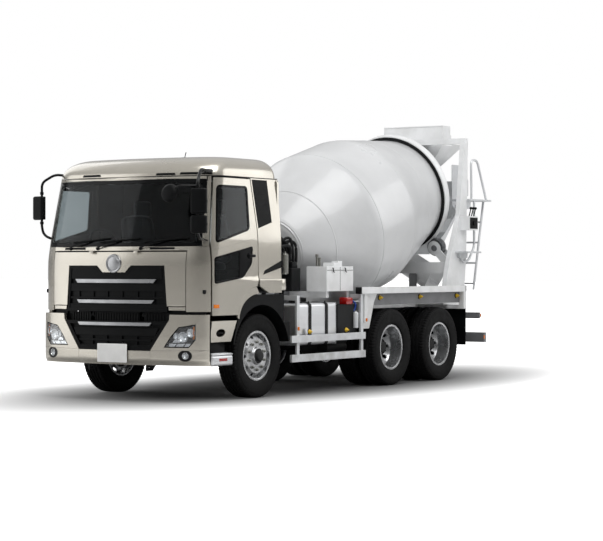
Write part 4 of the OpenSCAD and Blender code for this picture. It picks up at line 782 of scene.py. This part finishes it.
SCREEN, SCREEN_MID = outline(wedge(1126, 1817, 1092, 2597), 40), (0, 2200)
piece("windscreen_glass", "cab", GLASS, skin(FRONT, inset(SCREEN, 40), 6, -3, 8, 160, centre=SCREEN_MID),
      node="windscreen")
piece("windscreen_edge", "cab", FRIT, skin(FRONT, SCREEN, 8, -1, 3, 160, inset(SCREEN, 42), SCREEN_MID),
      node="windscreen")
UPPER_DOOR = [(1051, 1772), (1051, 1850), (914, 2618), (224, 2618), (139, 2019), (137, 1925)]
LOWER_DOOR = [(1051, 1770), (137, 1923), (120, 1433), *WHEEL_ARCH, (562, 1011), (1051, 1011)]
LINING = [(1040, 1780), (150, 1930), (140, 1440), *WHEEL_ARCH, (580, 1040), (1040, 1040)]
WINDOW, WINDOW_MID = outline([(1000, 1846), (898, 2534), (286, 2534), (286, 2014)], 60), (660, 2240)
LOW_WINDOW = outline([(1024, 1376), (1024, 1688), (232, 1824), (252, 1610), (440, 1446)], 40)
LOW_MID, PANE_MID = (700, 1580), (700, 1600)
BLANKED = [(232, 1824), (252, 1610), (440, 1446), (520, 1440), (520, 1776)]


def door(tag, turn, low):
    """Door in two rings of one sheet: the frame round the window, and the panel below it, which has a low window or
    is plain; turn puts it on its side of the cab."""
    body, node, hole = tag + "_door", "door_" + tag, LOW_WINDOW if low else None
    upper = skin(SIDE, UPPER_DOOR, 40, 0, 8, 120, WINDOW, WINDOW_MID)
    lower = skin(SIDE, LOWER_DOOR, 40, 0, 12, 140, hole, LOW_MID)
    piece(node + "_panel", body, CAB_PAINT, turn(upper), turn(lower), bevel=4, node=node)
    piece(node + "_lining", body, TRIM, turn(skin(SIDE, LINING, 14, -41, 6, 90, hole, LOW_MID)))
    seals = [skin(SIDE, WINDOW, 20, -3, 3, 100, inset(WINDOW, 26), WINDOW_MID)]
    panes = [skin(SIDE, inset(WINDOW, 24), 5, -9, 6, 90, centre=WINDOW_MID)]
    if low:
        seals += [skin(SIDE, LOW_WINDOW, 20, -2, 3, 90, inset(LOW_WINDOW, 24), PANE_MID),
                  skin(SIDE, BLANKED, 10, -4, 4, 60)]
        panes += [skin(SIDE, inset(LOW_WINDOW, 22), 5, -8, 6, 90, centre=PANE_MID)]
    piece(node + "_seal", body, FRIT, *map(turn, seals), node=node + "_glass")
    piece(node + "_panes", body, GLASS, *map(turn, panes), node=node + "_glass")
    grip = join(block((196, 1226, 1690), (330, 1250, 1722), 8),
                lathe([(0, 12), (26, 11), (34, 4), (34, -14), (0, -14)], (300, 1232, 1706), 28))
    piece(node + "_handle", body, BLACK_PLASTIC, turn(grip))


door("left", lambda shape: shape, True)
door("right", mirrored, False)
louvre_pane = skin(SIDE, inset(outline(QUARTER_PANE, 12), 1.5), 14, -3, 6, 70, centre=(0, 2330))
louvre_slats = [skin(SIDE, [(-182 + 0.11 * d, 2150 + d), (100 + 0.12 * d, 2136.4 + d), (102 + 0.12 * d, 2158 + d),
                            (-180 + 0.11 * d, 2172 + d)], 10, 3, 3, 20) for d in range(0, 430, 62)]
piece("quarter_louvres", "cab", BLACK_PLASTIC, both(louvre_pane, *louvre_slats), node="quarter_panels")

# Wheels

WHEEL_R, TREAD_HALF, TREAD_POINTS = 508, 104, 53
FRONT_Y, REAR_Y, TWIN_Y = 1022, 925, 160  # side distance of the wheels, and of each twin tyre from their middle
REAR_AXLES = ((2, -3100), (3, -4420))
NUTS, NUT_CIRCLE, FIRST_NUT = 10, 167, 18
GROOVE, ZIGZAGS, SHOULDER_BLOCKS = 13, 36, 72  # depth, and counts round the wheel
# Radius and side distance from the bead to the shoulder
SIDEWALL = np.array([(286.3, 96), (292, 101), (302, 104), (318, 124), (345, 133), (398, 138), (440, 136), (470, 132),
                     (490, 126), (500, 118), (505, 110)])


def tyre(x, y, grooves):
    """Tyre: a sidewall, the tread and the other sidewall turned round the axle; the tread's radius drops in grooves,
    each a smooth notch across the width that zigzags round the wheel, and the shoulders are cut into blocks."""
    across = np.linspace(-TREAD_HALF, TREAD_HALF, TREAD_POINTS)
    crown = np.stack([WHEEL_R - 3 * (across / TREAD_HALF) ** 2, across], -1)
    radius, side = np.concatenate([SIDEWALL * [1, -1], crown, SIDEWALL[::-1]]).T
    tread = np.pad(np.ones(TREAD_POINTS), len(SIDEWALL))
    shoulder = step(radius, 455, 480) * (np.abs(side) > 70)
    turn = np.linspace(0, 2 * np.pi, 288, endpoint=False)[:, None]
    wave = np.abs((turn / (2 * np.pi) * ZIGZAGS) % 1 * 2 - 1)
    cut = np.max([1 - step(np.abs(side - g - 9 * (wave - 0.5)), 3.5, 8) for g in grooves], 0)
    notch = step(np.abs((turn / (2 * np.pi) * SHOULDER_BLOCKS) % 1 - 0.5), 0.3, 0.44) * shoulder * 0.8
    r = radius - GROOVE * np.maximum(cut * tread, notch)
    points = np.stack([x + r * np.cos(turn), y + side + 0 * turn, WHEEL_R + r * np.sin(turn)], -1)
    bead = lathe([(455, 137.4), (452, 139), (449, 137.6)], (x, y, WHEEL_R), 96)
    return join(grid(points, True, True), bead)


def nuts(x, y, out, stand):
    """Ring of wheel nuts, each a six-sided cone on a washer with the stud's end."""
    one = lathe([(0, 34), (8, 34), (9, 32), (9, 26), (13, 25), (15, 22), (16.5, 6), (21, 4), (21, 0), (0, 0)],
                (x + NUT_CIRCLE, y + out * stand, WHEEL_R), 6, (0, out, 0))
    return spun(one, (0, 1, 0), FIRST_NUT + np.arange(NUTS) * 360 / NUTS, (x, y, WHEEL_R))


for hand, tag in SIDES:
    y, body = hand * FRONT_Y, "front_wheel_" + tag
    piece("front_tyre_tread_" + tag, body, TYRE_RUBBER, tyre(0, y, (-66, -22, 22, 66)), node="front_tyre_" + tag)
    hub_cap = lathe([(0, 172), (40, 171), (58, 166), (66, 156), (70, 136), (88, 134), (92, 130), (92, 120), (0, 120)],
                    (0, y, WHEEL_R), 48, (0, hand, 0))
    piece("front_hub_cap_" + tag, body, CAST_IRON, hub_cap)
    piece("front_wheel_nuts_" + tag, body, ZINC, nuts(0, y, hand, 102))
    stem = [(0, y + hand * out, WHEEL_R - r) for out, r in ((60, 252), (90, 246), (112, 228))]
    piece("front_valve_" + tag, body, ZINC, tube(stem, 4, 8))
    for axle, x in REAR_AXLES:
        end, y = "_%s_%d" % (tag, axle), hand * REAR_Y
        twins = join(*[tyre(x, y + d, (-52, 0, 52)) for d in (-TWIN_Y, TWIN_Y)])
        piece("tyre_treads" + end, "wheels" + end, TYRE_RUBBER, twins, node="tyres" + end)
        flange = lathe([(0, 150), (70, 148), (84, 142), (90, 132), (92, 116), (112, 112), (112, 104), (0, 104)],
                       (x, y, WHEEL_R), 48, (0, hand, 0))
        stud = bar((x + 74, y + hand * 144, WHEEL_R), (x + 74, y + hand * 158, WHEEL_R), 9, 6)
        studs = spun(stud, (0, 1, 0), np.arange(8) * 45, (x, y, WHEEL_R))
        piece("axle_shaft_flange" + end, "wheels" + end, CAST_IRON, flange, studs)
        piece("wheel_nuts" + end, "wheels" + end, ZINC, nuts(x, y, hand, 12))

# Drum

LEAN = np.radians(15.2)
DRUM_AT, DRUM_AXIS = np.array([-3500, 0, 2158.0]), np.array([-np.cos(LEAN), 0, np.sin(LEAN)])


def cone(s):
    """Radius of the rear cones at a distance along the drum."""
    return np.interp(s, [472, 1755, 2350], [1085, 795, 545])


def round_drum(profile):
    """Closed profile turned round the drum's axis."""
    return lathe(profile, DRUM_AT, 160, DRUM_AXIS, True)


def weld(s, r):
    """Low weld bead round the drum."""
    return round_drum([(r - 4, s - 9), (r + 1.5, s - 5), (r + 2.6, s), (r + 1.5, s + 5), (r - 4, s + 9)])


belly = bend([(2, -1500), (430, -1500), (716, -1110), (1085, -472), (1085, 472), (795, 1755)], 90, 8)
mouth = [(862, 1755.5), (862, 1869.5), (cone(1870), 1870), (545, 2340), (556, 2350), (545, 2360), (533, 2350)]
inside = [(785, 1755), (1075, 472), (1075, -472), (706, -1106), (426, -1490), (2, -1490)]
piece("drum_barrel", "drum", WHITE_PAINT, round_drum(np.concatenate([belly, mouth, inside])), node="drum_shell")
piece("drum_welds", "drum", WHITE_PAINT, weld(-1080, 733), weld(-430, 1084), weld(430, 1084),
      weld(1080, cone(1080) + 1), weld(-1466, 452))
track = [(858, 1752), (866, 1756), (868, 1762), (868, 1863), (866, 1869), (858, 1873), (800, 1873), (800, 1752)]
piece("drum_track", "drum", FRAME_WHITE, round_drum(track))
# Painted shadow: a thin black ring that stands for the dark gap between the drum and its track
piece("drum_track_painted_shadow", "drum", HOSE_RUBBER, round_drum([(806, 1736), (848, 1738), (850, 1750), (806, 1750)]))

# Lamps

LAMP_LINE = outline(LAMP, 14)


def bowl(y, z, r, depth=-32):
    """Reflector bowl set into the bumper: a turned dish that faces along the wall's outward direction, with its
    bulb."""
    p, n = on_wall(BUMPER, arc_of(y), z, depth)
    dish = [(0, 0), (0.3 * r, 1), (0.62 * r, 6), (0.86 * r, 14), (r, 25), (r + 3, 25), (r + 3, -4), (0, -4)]
    return join(lathe(dish, p, 40, n), lathe([(0, 24), (6, 22), (9, 15), (9, 0), (0, 0)], p, 20, n))


tray = skin(BUMPER, inset(LAMP_LINE, 2), 3, -33, 5, 80, centre=LAMP_MID)
steps_in = [skin(BUMPER, [(a, z), (a + 70, z), (a + 96, z + 34), (a + 18, z + 34)], 8, -24, 3, 16)
            for a, z in ((760, 654), (846, 654), (932, 654), (812, 700))]
bowls = bowl(955, 765, 58), bowl(1046, 812, 46), bowl(872, 775, 34), bowl(985, 548, 36, -26)
piece("lamp_reflectors", "chassis", REFLECTOR, both(*steps_in, *bowls), node="lamps")
bezel = skin(BUMPER, inset(LAMP_LINE, 1), 26, -5, 3, 90, inset(LAMP_LINE, 11), LAMP_MID)
fog_eye = FOG_AT + 38 * arc(0, 0, 1, 1, 0, 345, 24)
fog_bezel = skin(BUMPER, inset(FOG, 0.8), 20, -2, 4, 60, fog_eye, FOG_AT)
piece("lamp_bezels", "chassis", GLOSS_BLACK, both(tray, bezel, fog_bezel), bevel=2, node="lamps")
lamp_cover = skin(BUMPER, inset(LAMP_LINE, 10), 4, -3, 6, 90, centre=LAMP_MID)
fog_cover = skin(BUMPER, fog_eye, 4, -5, 4, 40, centre=FOG_AT)
piece("lamp_covers", "chassis", LENS, both(lamp_cover, fog_cover), node="lamps")
turn_lens = skin(BUMPER, [(arc_of(1072), 742), (arc_of(1094), 742), (arc_of(1094), 890), (arc_of(1072), 884)], 8, -14,
                 3, 24)
DECK_MARKS, GUARD_MARKS = (-2850, -3925, -4975), (-1065, -1940)
deck_eyes = copies(lathe([(0, 50), (7, 47), (24, 16), (29, 4), (29, 0), (0, 0)], (0, 1164, 1168), 28), "x", DECK_MARKS)
deck_feet = copies(lathe([(0, 9), (33, 9), (35, 5), (35, -2), (0, -2)], (0, 1156, 1168), 28), "x", DECK_MARKS)
guard_eyes = copies(lathe([(0, 44), (7, 41), (24, 14), (29, 4), (29, 0), (0, 0)], (0, 1198, 768), 28), "x", GUARD_MARKS)
guard_feet = copies(join(block((-34, 1189, 727), (34, 1213, 741), 4), block((-30, 1190, 738), (30, 1199, 798), 4)), "x",
                    GUARD_MARKS)
tail_back = block((-5668, 832, 832), (-5648, 1178, 918))
tail_red, tail_amber, tail_end = [block((-5689, y + 3, 838), (-5664, y + 108, 912), 8, 3) for y in (836, 950, 1064)]
rail_lamps = block((-846, 1184, 788), (-814, 1202, 834), 7, 3), block((-2456, 1198, 862), (-2424, 1214, 906), 7, 3)
piece("amber_lamps", "chassis", AMBER, both(turn_lens, tail_amber, *rail_lamps), node="lamps")
piece("red_lamps", "chassis", RED, both(tail_red, tail_end), node="lamps")
piece("yellow_markers", "chassis", YELLOW, both(deck_eyes, guard_eyes), node="lamps")
piece("marker_bases", "chassis", BLACK_PLASTIC, both(deck_feet, tail_back, guard_feet), node="lamps")

# Cab outside details

def roof_front(y, z):
    """Front of the roof by side distance and height, the same quarter turn as the roof's plan lines."""
    a = np.arcsin(np.clip((z - ROOF_FOOT) / ROOF_RISE, 0, 1))
    return np.stack([roof_nose(y, *roof_size(a), 0.999), y, z + 0 * a], -1)


ROOF = charted(roof_front)
slots = [skin(ROOF, [(y0, z0), (y1, z0), (y1 - 10, z0 + 24), (y0 + 10, z0 + 24)], 14, 6, 3, 40)
         for y0, y1, z0 in ((-660, -370, 2650), (450, 710, 2648), (770, 1130, 2652))]
slots += [skin(FRONT, rect(y0, 1778, y1, 1803), 12, 3, 3, 40) for y0, y1 in ((-800, -460), (495, 820))]
side_slots = both(skin(SIDE, [(25, 1480), (-374, 1566), (-374, 1650), (-20, 1532)], 8, 3, 4, 40))
aerial = join(block((440, 372, 2866), (506, 428, 2890), 9, 4), bar((468, 400, 2884), (440, 400, 2952), 5))
piece("roof_and_cowl_slots", "cab", BLACK_PLASTIC, *slots, side_slots, aerial)
rail_x = np.linspace(-360, 880, 40)
rail = np.stack([np.stack([rail_x, flank(rail_x, 2636 + 0 * rail_x) + out, 2634 + up + 0 * rail_x], -1)
                 for out, up in ((2, 0), (9, 2), (9, 8), (2, 10))])
piece("roof_drip_rail", "cab", BLACK_PLASTIC, both(sheet(rail, 2)))
repeater = skin(SIDE, rect(948, 1098, 1032, 1138), 10, 7, 3, 24)
piece("side_repeater_left", "left_door", AMBER, repeater)
piece("side_repeater_right", "right_door", AMBER, mirrored(repeater))

# Place, width, height and turn in degrees of each mirror head
HEADS = (((1402, 1297, 2325), 190, 290, 14), ((1402, 1297, 2060), 190, 205, 14), ((1102, -1297, 2290), 190, 290, -14))
UPRIGHT = (0, 0, 1)


def mirror_head(place, w, h, turn):
    """Mirror case: a soft-edged block turned about the upright, with a ledge round its back and a clamp across."""
    w, h = w / 2, h / 2
    case = block((10, -w, -h), (70, w, h), 26, 5)
    ledge = block((0, 4 - w, 4 - h), (24, w - 4, h - 4), 9, 3)
    clamp = bar((26, -w - 6, 0), (26, w + 6, 0), 13)
    return moved(spun(join(case, ledge, clamp), UPRIGHT, turn), place)


def mirror_glass(place, w, h, turn):
    """Flat glass that fills the back of a mirror case."""
    pane = plate(wedge(w / 2 - 14, 14 - h / 2, w / 2 - 14, h / 2 - 14), "x", -2, 3, 22, 1)
    return moved(spun(pane, UPRIGHT, turn), place)


left_stay = bend([(900, 1090, 2690), (1240, 1190, 2700), (1420, 1275, 2560), (1420, 1275, 1980), (1340, 1240, 1900),
                  (1080, 1160, 1880)], 60, 7)
right_stay = bend([(900, -1090, 2690), (1010, -1160, 2700), (1120, -1275, 2600), (1120, -1275, 2040),
                   (1110, -1240, 1950), (1080, -1160, 1920)], 60, 7)
bowl_arm = bend([(1418, 1270, 2500), (1560, 1110, 2500), (1570, 990, 2430)], 50, 7)
BOWL_TILT = np.radians(76)
LOOK = np.array([np.sin(BOWL_TILT), 0, np.cos(BOWL_TILT)])
BOWL_AT = np.array([1620 - 60 * LOOK[0] - 70 * LOOK[2], 983, 2415])
bowl_back = lathe([(0, 3), (98, 1), (104, 2), (108, 8), (106, 20), (96, 40), (78, 54), (52, 60), (0, 60)], BOWL_AT, 48,
                  LOOK)
bowl_eye = lathe([(0, -1), (92, -3), (98, 0), (92, 3), (0, 4)], BOWL_AT, 48, LOOK)
feet = [bar((905, y, 2664), (905, y, 2706), 34, 24) for y in (1090, -1090)]
collars = [bar((x, y, z - 16), (x, y, z + 16), 23)
           for x, y, z in ((1420, 1275, 2500), (1420, 1275, 2195), (1420, 1275, 2000), (1120, -1275, 2470),
                           (1120, -1275, 2110))]
gussets = (block((930, 1080, 2668), (1090, 1150, 2712), 18, 4), bar((1240, 1188, 2692), (1416, 1270, 2490), 13),
           bar((1060, 1120, 2690), (1300, 1216, 2640), 14))
piece("mirror_stays", "cab", GLOSS_BLACK, tube(left_stay, 16, 14), tube(right_stay, 16, 14), tube(bowl_arm, 11, 12),
      *feet, *collars, *gussets, node="mirrors")
piece("mirror_cases", "cab", BLACK_PLASTIC, *[mirror_head(*h) for h in HEADS], bowl_back, node="mirrors")
piece("mirror_glasses", "cab", MIRROR, *[mirror_glass(*h) for h in HEADS], bowl_eye, node="mirrors")


def wiper(y0):
    """Wiper: a pivot on the cowl, an arm that rises off the glass in a low arch, and a blade that follows the
    glass."""
    t = np.linspace(0, 1, 14)
    blade = FRONT(y0 + 40 + 560 * t, 1861 + 46 * t, 13 + 0 * t)
    rib = FRONT(y0 + 60 + 520 * t, 1863 + 43 * t, 23 + 0 * t)
    arm = FRONT(y0 + 330 * t, 1790 + 91 * t ** 0.8, 16 + 30 * np.sin(np.pi * t) ** 0.7)
    p, n = on_wall(FRONT, y0, 1790, -4)
    pivot = lathe([(0, 30), (14, 28), (19, 20), (21, 0), (0, 0)], p, 24, n)
    return join(sweep(blade, [(-4, -9), (4, -9), (7, 2), (4, 9), (-4, 9), (-7, 2)], (1, 0, 0)), tube(rib, 6, 8),
                sweep(arm, [(-11, -5), (11, -5), (8, 6), (-8, 6)], (1, 0, 0)), pivot)


piece("wiper_set", "cab", BLACK_PLASTIC, *[wiper(y) for y in (-700, -260, 370)], node="wipers")

# Steps under the doors

STEP_WALL = charted(lambda x, z: np.stack([x, 1233 - 0.17 * (946 - z), z], -1))
OVAL_MID = (868, 806)
apron = skin(STEP_WALL, [(1069, 946), (572, 946), (634, 700), (1069, 700)], 22, 0, 6, 90,
             arc(*OVAL_MID, 92, 46, 0, 352, 36), OVAL_MID)
piece("step_aprons", "chassis", CAB_PAINT, both(apron), bevel=4, node="door_steps")
foot = block((644, 1030, 424), (1069, 1233, 548), 26, 5)
tread_plate = block((648, 1040, 548), (1066, 1229, 566))
tread_bars = copies(block((668, 1062, 565), (1050, 1074, 571), 2), "y", (0, 36, 72, 108, 144))
piece("step_feet", "chassis", BRUSHED_ALUMINIUM, both(foot, tread_plate, tread_bars), node="door_steps")
well = (block((576, 955, 700), (1066, 1160, 944)), block((660, 955, 430), (1062, 1120, 702)),
        block((1069, 1060, 440), (1076, 1212, 940), 2))
step_arms = copies(block((0, 476, 740), (60, 960, 800)), "x", (700, 980))
grab = tube([(800, 1190, 806), (830, 1200, 806), (906, 1200, 806), (936, 1190, 806)], 9)
piece("step_wells", "chassis", BLACK_PLASTIC, both(*well, step_arms, grab), node="door_steps")
piece("step_reflectors", "chassis", RED, both(block((770, 1231, 478), (930, 1236, 512), 2)), node="door_steps")


# Cab inside

SEAT_Y = 560


def pad(centre, half, lean, seams=()):
    """Cushion: a box-like oval whose crown is highest in the middle and whose sides pull in, with sewn channels as
    narrow dips across the padded face; then leaned back about the cross axis."""
    u = np.linspace(-np.pi, np.pi, 72, endpoint=False)[None, :]
    v = np.linspace(-np.pi / 2, np.pi / 2, 37)[:, None]
    boxy = lambda c: np.sign(c) * np.abs(c) ** 0.42
    p = np.stack([boxy(np.cos(v)) * boxy(np.cos(u)), boxy(np.cos(v)) * boxy(np.sin(u)), boxy(np.sin(v)) + 0 * u], -1)
    crown = 0.84 + 0.16 * (1 - p[..., 0] ** 2) * (1 - p[..., 1] ** 2)
    dip = sum((np.exp(-((p[..., 1] - s) * half[1] / 9) ** 2) for s in seams), np.zeros(p.shape[:2]))
    p = p * np.array(half)
    p[..., 2] = p[..., 2] * crown - 9 * dip * np.sign(p[..., 2])
    return moved(spun(grid(p, False, True), (0, 1, 0), lean), centre)


for hand, tag in ((1, "passenger"), (-1, "driver")):
    y = hand * SEAT_Y
    for name, cushion, fill in (
            ("cushion", pad((375, y, 1590), (262, 246, 66), -4, (-0.45, 0.45)), 0.8),
            ("back", pad((112, y, 1906), (306, 236, 62), 101.3 - 180, (-0.5, 0.5)), 0.8),
            ("headrest", pad((40, y, 2290), (98, 126, 44), 96 - 180), 0.9)):
        made = piece("seat_%s_%s" % (name, tag), "cab", SEAT_CLOTH, cushion, node="seats")
    base = (block((190, y - 170, 1308), (550, y + 170, 1500), 20, 4),
            block((130, y - 236, 1490), (620, y + 236, 1545), 16, 4))
    posts = [bar((52, y + d, 2180), (44, y + d, 2260), 8) for d in (-60, 60)]
    piece("seat_base_" + tag, "cab", TRIM, *base, *posts, node="seats")
lining = both(skin(SIDE, [(96, 1330), (-326, 1330), (-326, 2604), (190, 2604), (108, 2019)], 8, -44, 5, 50))
piece("cab_lining", "cab", TRIM, block((-329, -1150, 1312), (-316, 1150, 2630), 5), lining,
      block((-318, -1120, 1310), (-160, 1120, 1560), 20, 4))

# Tank, boxes and decks

STRAPS = (-1180, -1570)
tank = block((-1790, 560, 600), (-880, 1150, 1120), 42, 6)
tank_seams = copies(block((-3, 556, 596), (3, 1153, 1123), 44, 6), "x", (-904, -1766))
piece("fuel_tank_body", "chassis", BRUSHED_ALUMINIUM, tank, tank_seams, node="fuel_tank")


def strap(x):
    """Flat band round the tank: an outer and an inner ring, joined at both edges."""
    over = outline(rect(554, 594, 1157, 1126), 46, 6)
    rings = [(over, x), (over, x + 60), (inset(over, 7), x + 60), (inset(over, 7), x)]
    return grid(np.stack([np.column_stack([np.full(len(r), a), r]) for r, a in rings]), True, True)


brackets = copies(block((0, 475, 600), (60, 570, 976)), "x", STRAPS)
piece("tank_straps", "chassis", CHASSIS_BLACK, *map(strap, STRAPS), brackets, node="fuel_tank")
cap = lathe([(0, 52), (40, 51), (54, 46), (58, 38), (58, 6), (64, 4), (64, -4), (0, -4)], (-1000, 1000, 1114), 40,
            UPRIGHT)
bolts = copies(bar((0, 1128, 1124), (0, 1128, 1146), 8), "x", (-1150, -1540))
piece("tank_cap", "chassis", BLACK_PLASTIC, cap, bolts, node="fuel_tank")
piece("deck_skirts", "chassis", GREY_PAINT, both(plate(rect(-5086, 1072, -2504, 1221), "y", 1153.6, 1156.5, 8, 1)))
piece("deck_end_caps", "chassis", BLACK_PLASTIC,
      both(block((-2300, 1138, 1222), (-2272, 1222, 1312), 5), block((-5174, 1138, 1222), (-5148, 1222, 1312), 5)))
piece("first_aid_box", "chassis", RED, block((-2230, 1004, 1088), (-2080, 1126, 1180), 12, 3))
air_hose = bend([(-2226, 1090, 1140), (-2268, 1136, 1120), (-2276, 1140, 1040), (-2240, 1120, 1000)], 40, 6)
piece("air_hose_blue", "chassis", BLUE_HOSE, tube(air_hose, 11))
dryer = lathe([(0, 0), (26, 2), (36, 10), (36, 196), (30, 208), (14, 214), (14, 226), (0, 226)], (-2262, 1146, 778), 36,
              UPRIGHT)
piece("air_dryer", "chassis", GUARD_SILVER, dryer)
box_lines = block((-2352, 1049, 1528), (-1718, 1052, 1534), 1), block((-2040, 1049, 1270), (-2034, 1052, 1572), 1)
hook = tube(bend([(0, 1046, 1560), (0, 1066, 1556), (0, 1066, 1512), (-26, 1066, 1506)], 10, 4), 6, 8)
piece("water_box_hooks", "chassis", BLACK_PLASTIC, *box_lines, copies(hook, "x", (-1850, -2148)))
pipes = [join(bar((x, 880, 1576), (x, 880, z), 15), bar((x, 880, z - 30), (x, 880, z + 6), 20))
         for x, z in ((-1744, 1730), (-1806, 1690))]
piece("water_pipes", "chassis", ZINC, *pipes, slot="guard_steel")

# Drum rear details

ROLLER_REACH, ROLLER_TURN = 862 + 125.3, np.radians(36)  # from the drum's axis, and away from its lowest line
for hand, tag in SIDES:
    down, out = np.cos(ROLLER_TURN), hand * np.sin(ROLLER_TURN)
    roller = DRUM_AT + ROLLER_REACH * np.array([-np.sin(LEAN) * down, out, -np.cos(LEAN) * down])
    piece("roller_pin_" + tag, "chassis", GREY_PAINT,
          lathe([(0, 14), (30, 13), (42, 8), (46, 0), (0, 0)], roller + DRUM_AXIS * 1731.5, 40, -DRUM_AXIS))
    piece("roller_cover_" + tag, "chassis", FRAME_WHITE,
          lathe([(0, 8), (96, 8), (104, 4), (104, 0), (0, 0)], roller + DRUM_AXIS * 1742, 48, -DRUM_AXIS))
knob = lathe([(0, 22), (14, 18), (20, 8), (20, -4), (14, -14), (0, -18)], (-30, 1075, 2414), 20, UPRIGHT)
levers = copies(join(bar((0, 1060, 2296), (-30, 1075, 2410), 8), knob), "x", (-5690, -5620, -5550))
gauge = block((-5706, 1112, 2120), (-5474, 1120, 2280), 3), bar((-5590, 1116, 2200), (-5590, 1136, 2200), 34, 28)
piece("control_levers", "chassis", BLACK_PLASTIC, levers, *gauge)
piece("hopper_lip", "chassis", FRAME_WHITE, bar((-5802, -498, 3634), (-5802, 498, 3634), 11))
guard_plate = plate([(-2398, 1221), (-2780, 1221), (-2700, 1112), (-2575, 768), (-2398, 768)], "y", 1157.5, 1165, 14)
piece("mudguard_front_plates", "chassis", FRAME_WHITE, both(guard_plate))
tail_dot = lathe([(0, 12), (20, 10), (26, 3), (26, 0), (0, 0)], (-5668, 1178, 875), 24)
piece("tail_side_lamps", "chassis", AMBER, both(tail_dot, block((-5700, 1237, 540), (-5660, 1243, 590), 2)))

# Lines between the pump and the tanks behind the cab, each clipped at both ends

piece("valve_block", "chassis", CHASSIS_BLACK, block((-1640, 520, 1262), (-1430, 700, 1560), 14, 3),
      block((-1600, 540, 1555), (-1470, 680, 1640), 10, 3))
lines = [bend([(-1060 - 80 * k, 330 + 46 * k, 1300), (-1050 - 80 * k, 360 + 46 * k, 1800 + 60 * (k % 3)),
               (-1260 - 70 * k, 560 + 30 * k, 1930 + 60 * (k % 2)), (-1440 - 34 * k, 560 + 30 * k, 1840 - 30 * k),
               (-1478 - 28 * k, 560 + 24 * k, 1600)], 120, 9) for k in range(5)]
piece("hydraulic_lines", "chassis", HOSE_RUBBER, *[tube(line, 19, 12) for line in lines])
fittings = [bar(end, end + [0, 0, 46], 25) for line in lines for end in (line[-1], line[0])]
filter_can = lathe([(0, 0), (40, 2), (46, 10), (46, 250), (38, 262), (16, 266), (16, 290), (0, 290)],
                   (-1330, 660, 1480), 36, UPRIGHT)
piece("line_fittings", "chassis", ZINC, *fittings, filter_can, slot="guard_steel")

# Steering wheel on its column

RAKE = np.radians(52)
WHEEL_AT, WHEEL_WAY = np.array([760, -SEAT_Y, 1850.0]), np.array([-np.sin(RAKE), 0, np.cos(RAKE)])
hoop = lathe(arc(222, 0, 15, 15, 0, 330, 12), WHEEL_AT, 64, WHEEL_WAY, True)
spokes = [bar(WHEEL_AT, WHEEL_AT + 215 * np.array(v), 13)
          for v in ((0, 1, 0), (0, -1, 0), (-WHEEL_WAY[2], 0, WHEEL_WAY[0]))]
boss = lathe([(0, 26), (40, 22), (58, 6), (58, -22), (0, -22)], WHEEL_AT, 36, WHEEL_WAY)
piece("steering_wheel", "cab", TRIM, hoop, *spokes, boss, bar(WHEEL_AT, WHEEL_AT - 300 * WHEEL_WAY, 36, 24))


# Solid parts that stay

def dress(finish, width, *names):
    """Finish and rolled edges on parts that keep their solid: loose corners weld, sharp edges roll, flats stay
    flat."""
    for name in names:
        obj = NODES[name]
        if not obj.material_slots:
            obj.data.materials.append(None)
        for slot in obj.material_slots:
            slot.material = finish
        obj.modifiers.new("weld", "WELD").merge_threshold = 5e-5
        if width:
            rolled(obj, width, SHARP, False)
        obj.modifiers.new("creases", "EDGE_SPLIT").split_angle = SHARP


dress(CHASSIS_BLACK, 3, "frame_rails", "side_boxes")
dress(CAST_IRON, 2, "axles", "leaf_springs", "powertrain", "knuckle_left", "knuckle_right", "tie_rod")
dress(FRAME_WHITE, 2, "mixer_subframe", "side_decks", "rear_pedestal", "hopper", "chute", "control_boxes")
dress(GUARD_SILVER, 2, "side_guards", "discharge_guide", "platform")
dress(GREY_PAINT, 2, "rear_bumper", "front_pedestal", "chute_swivel")
dress(BLACK_PLASTIC, 2, "mudguards")
dress(TRIM, 4, "dashboard")
dress(HOSE_RUBBER, 0, "hoses")
dress(WHEEL_SILVER, 1.5, "front_rim_left", "front_rim_right", "rim_left_2", "rim_right_2", "rim_left_3", "rim_right_3")
dress(TRACK_STEEL, 2, "roller_left", "roller_right")
dress(CEMENT_STEEL, 0, "drum_blades")

view()
surround()
ground()
lamps()
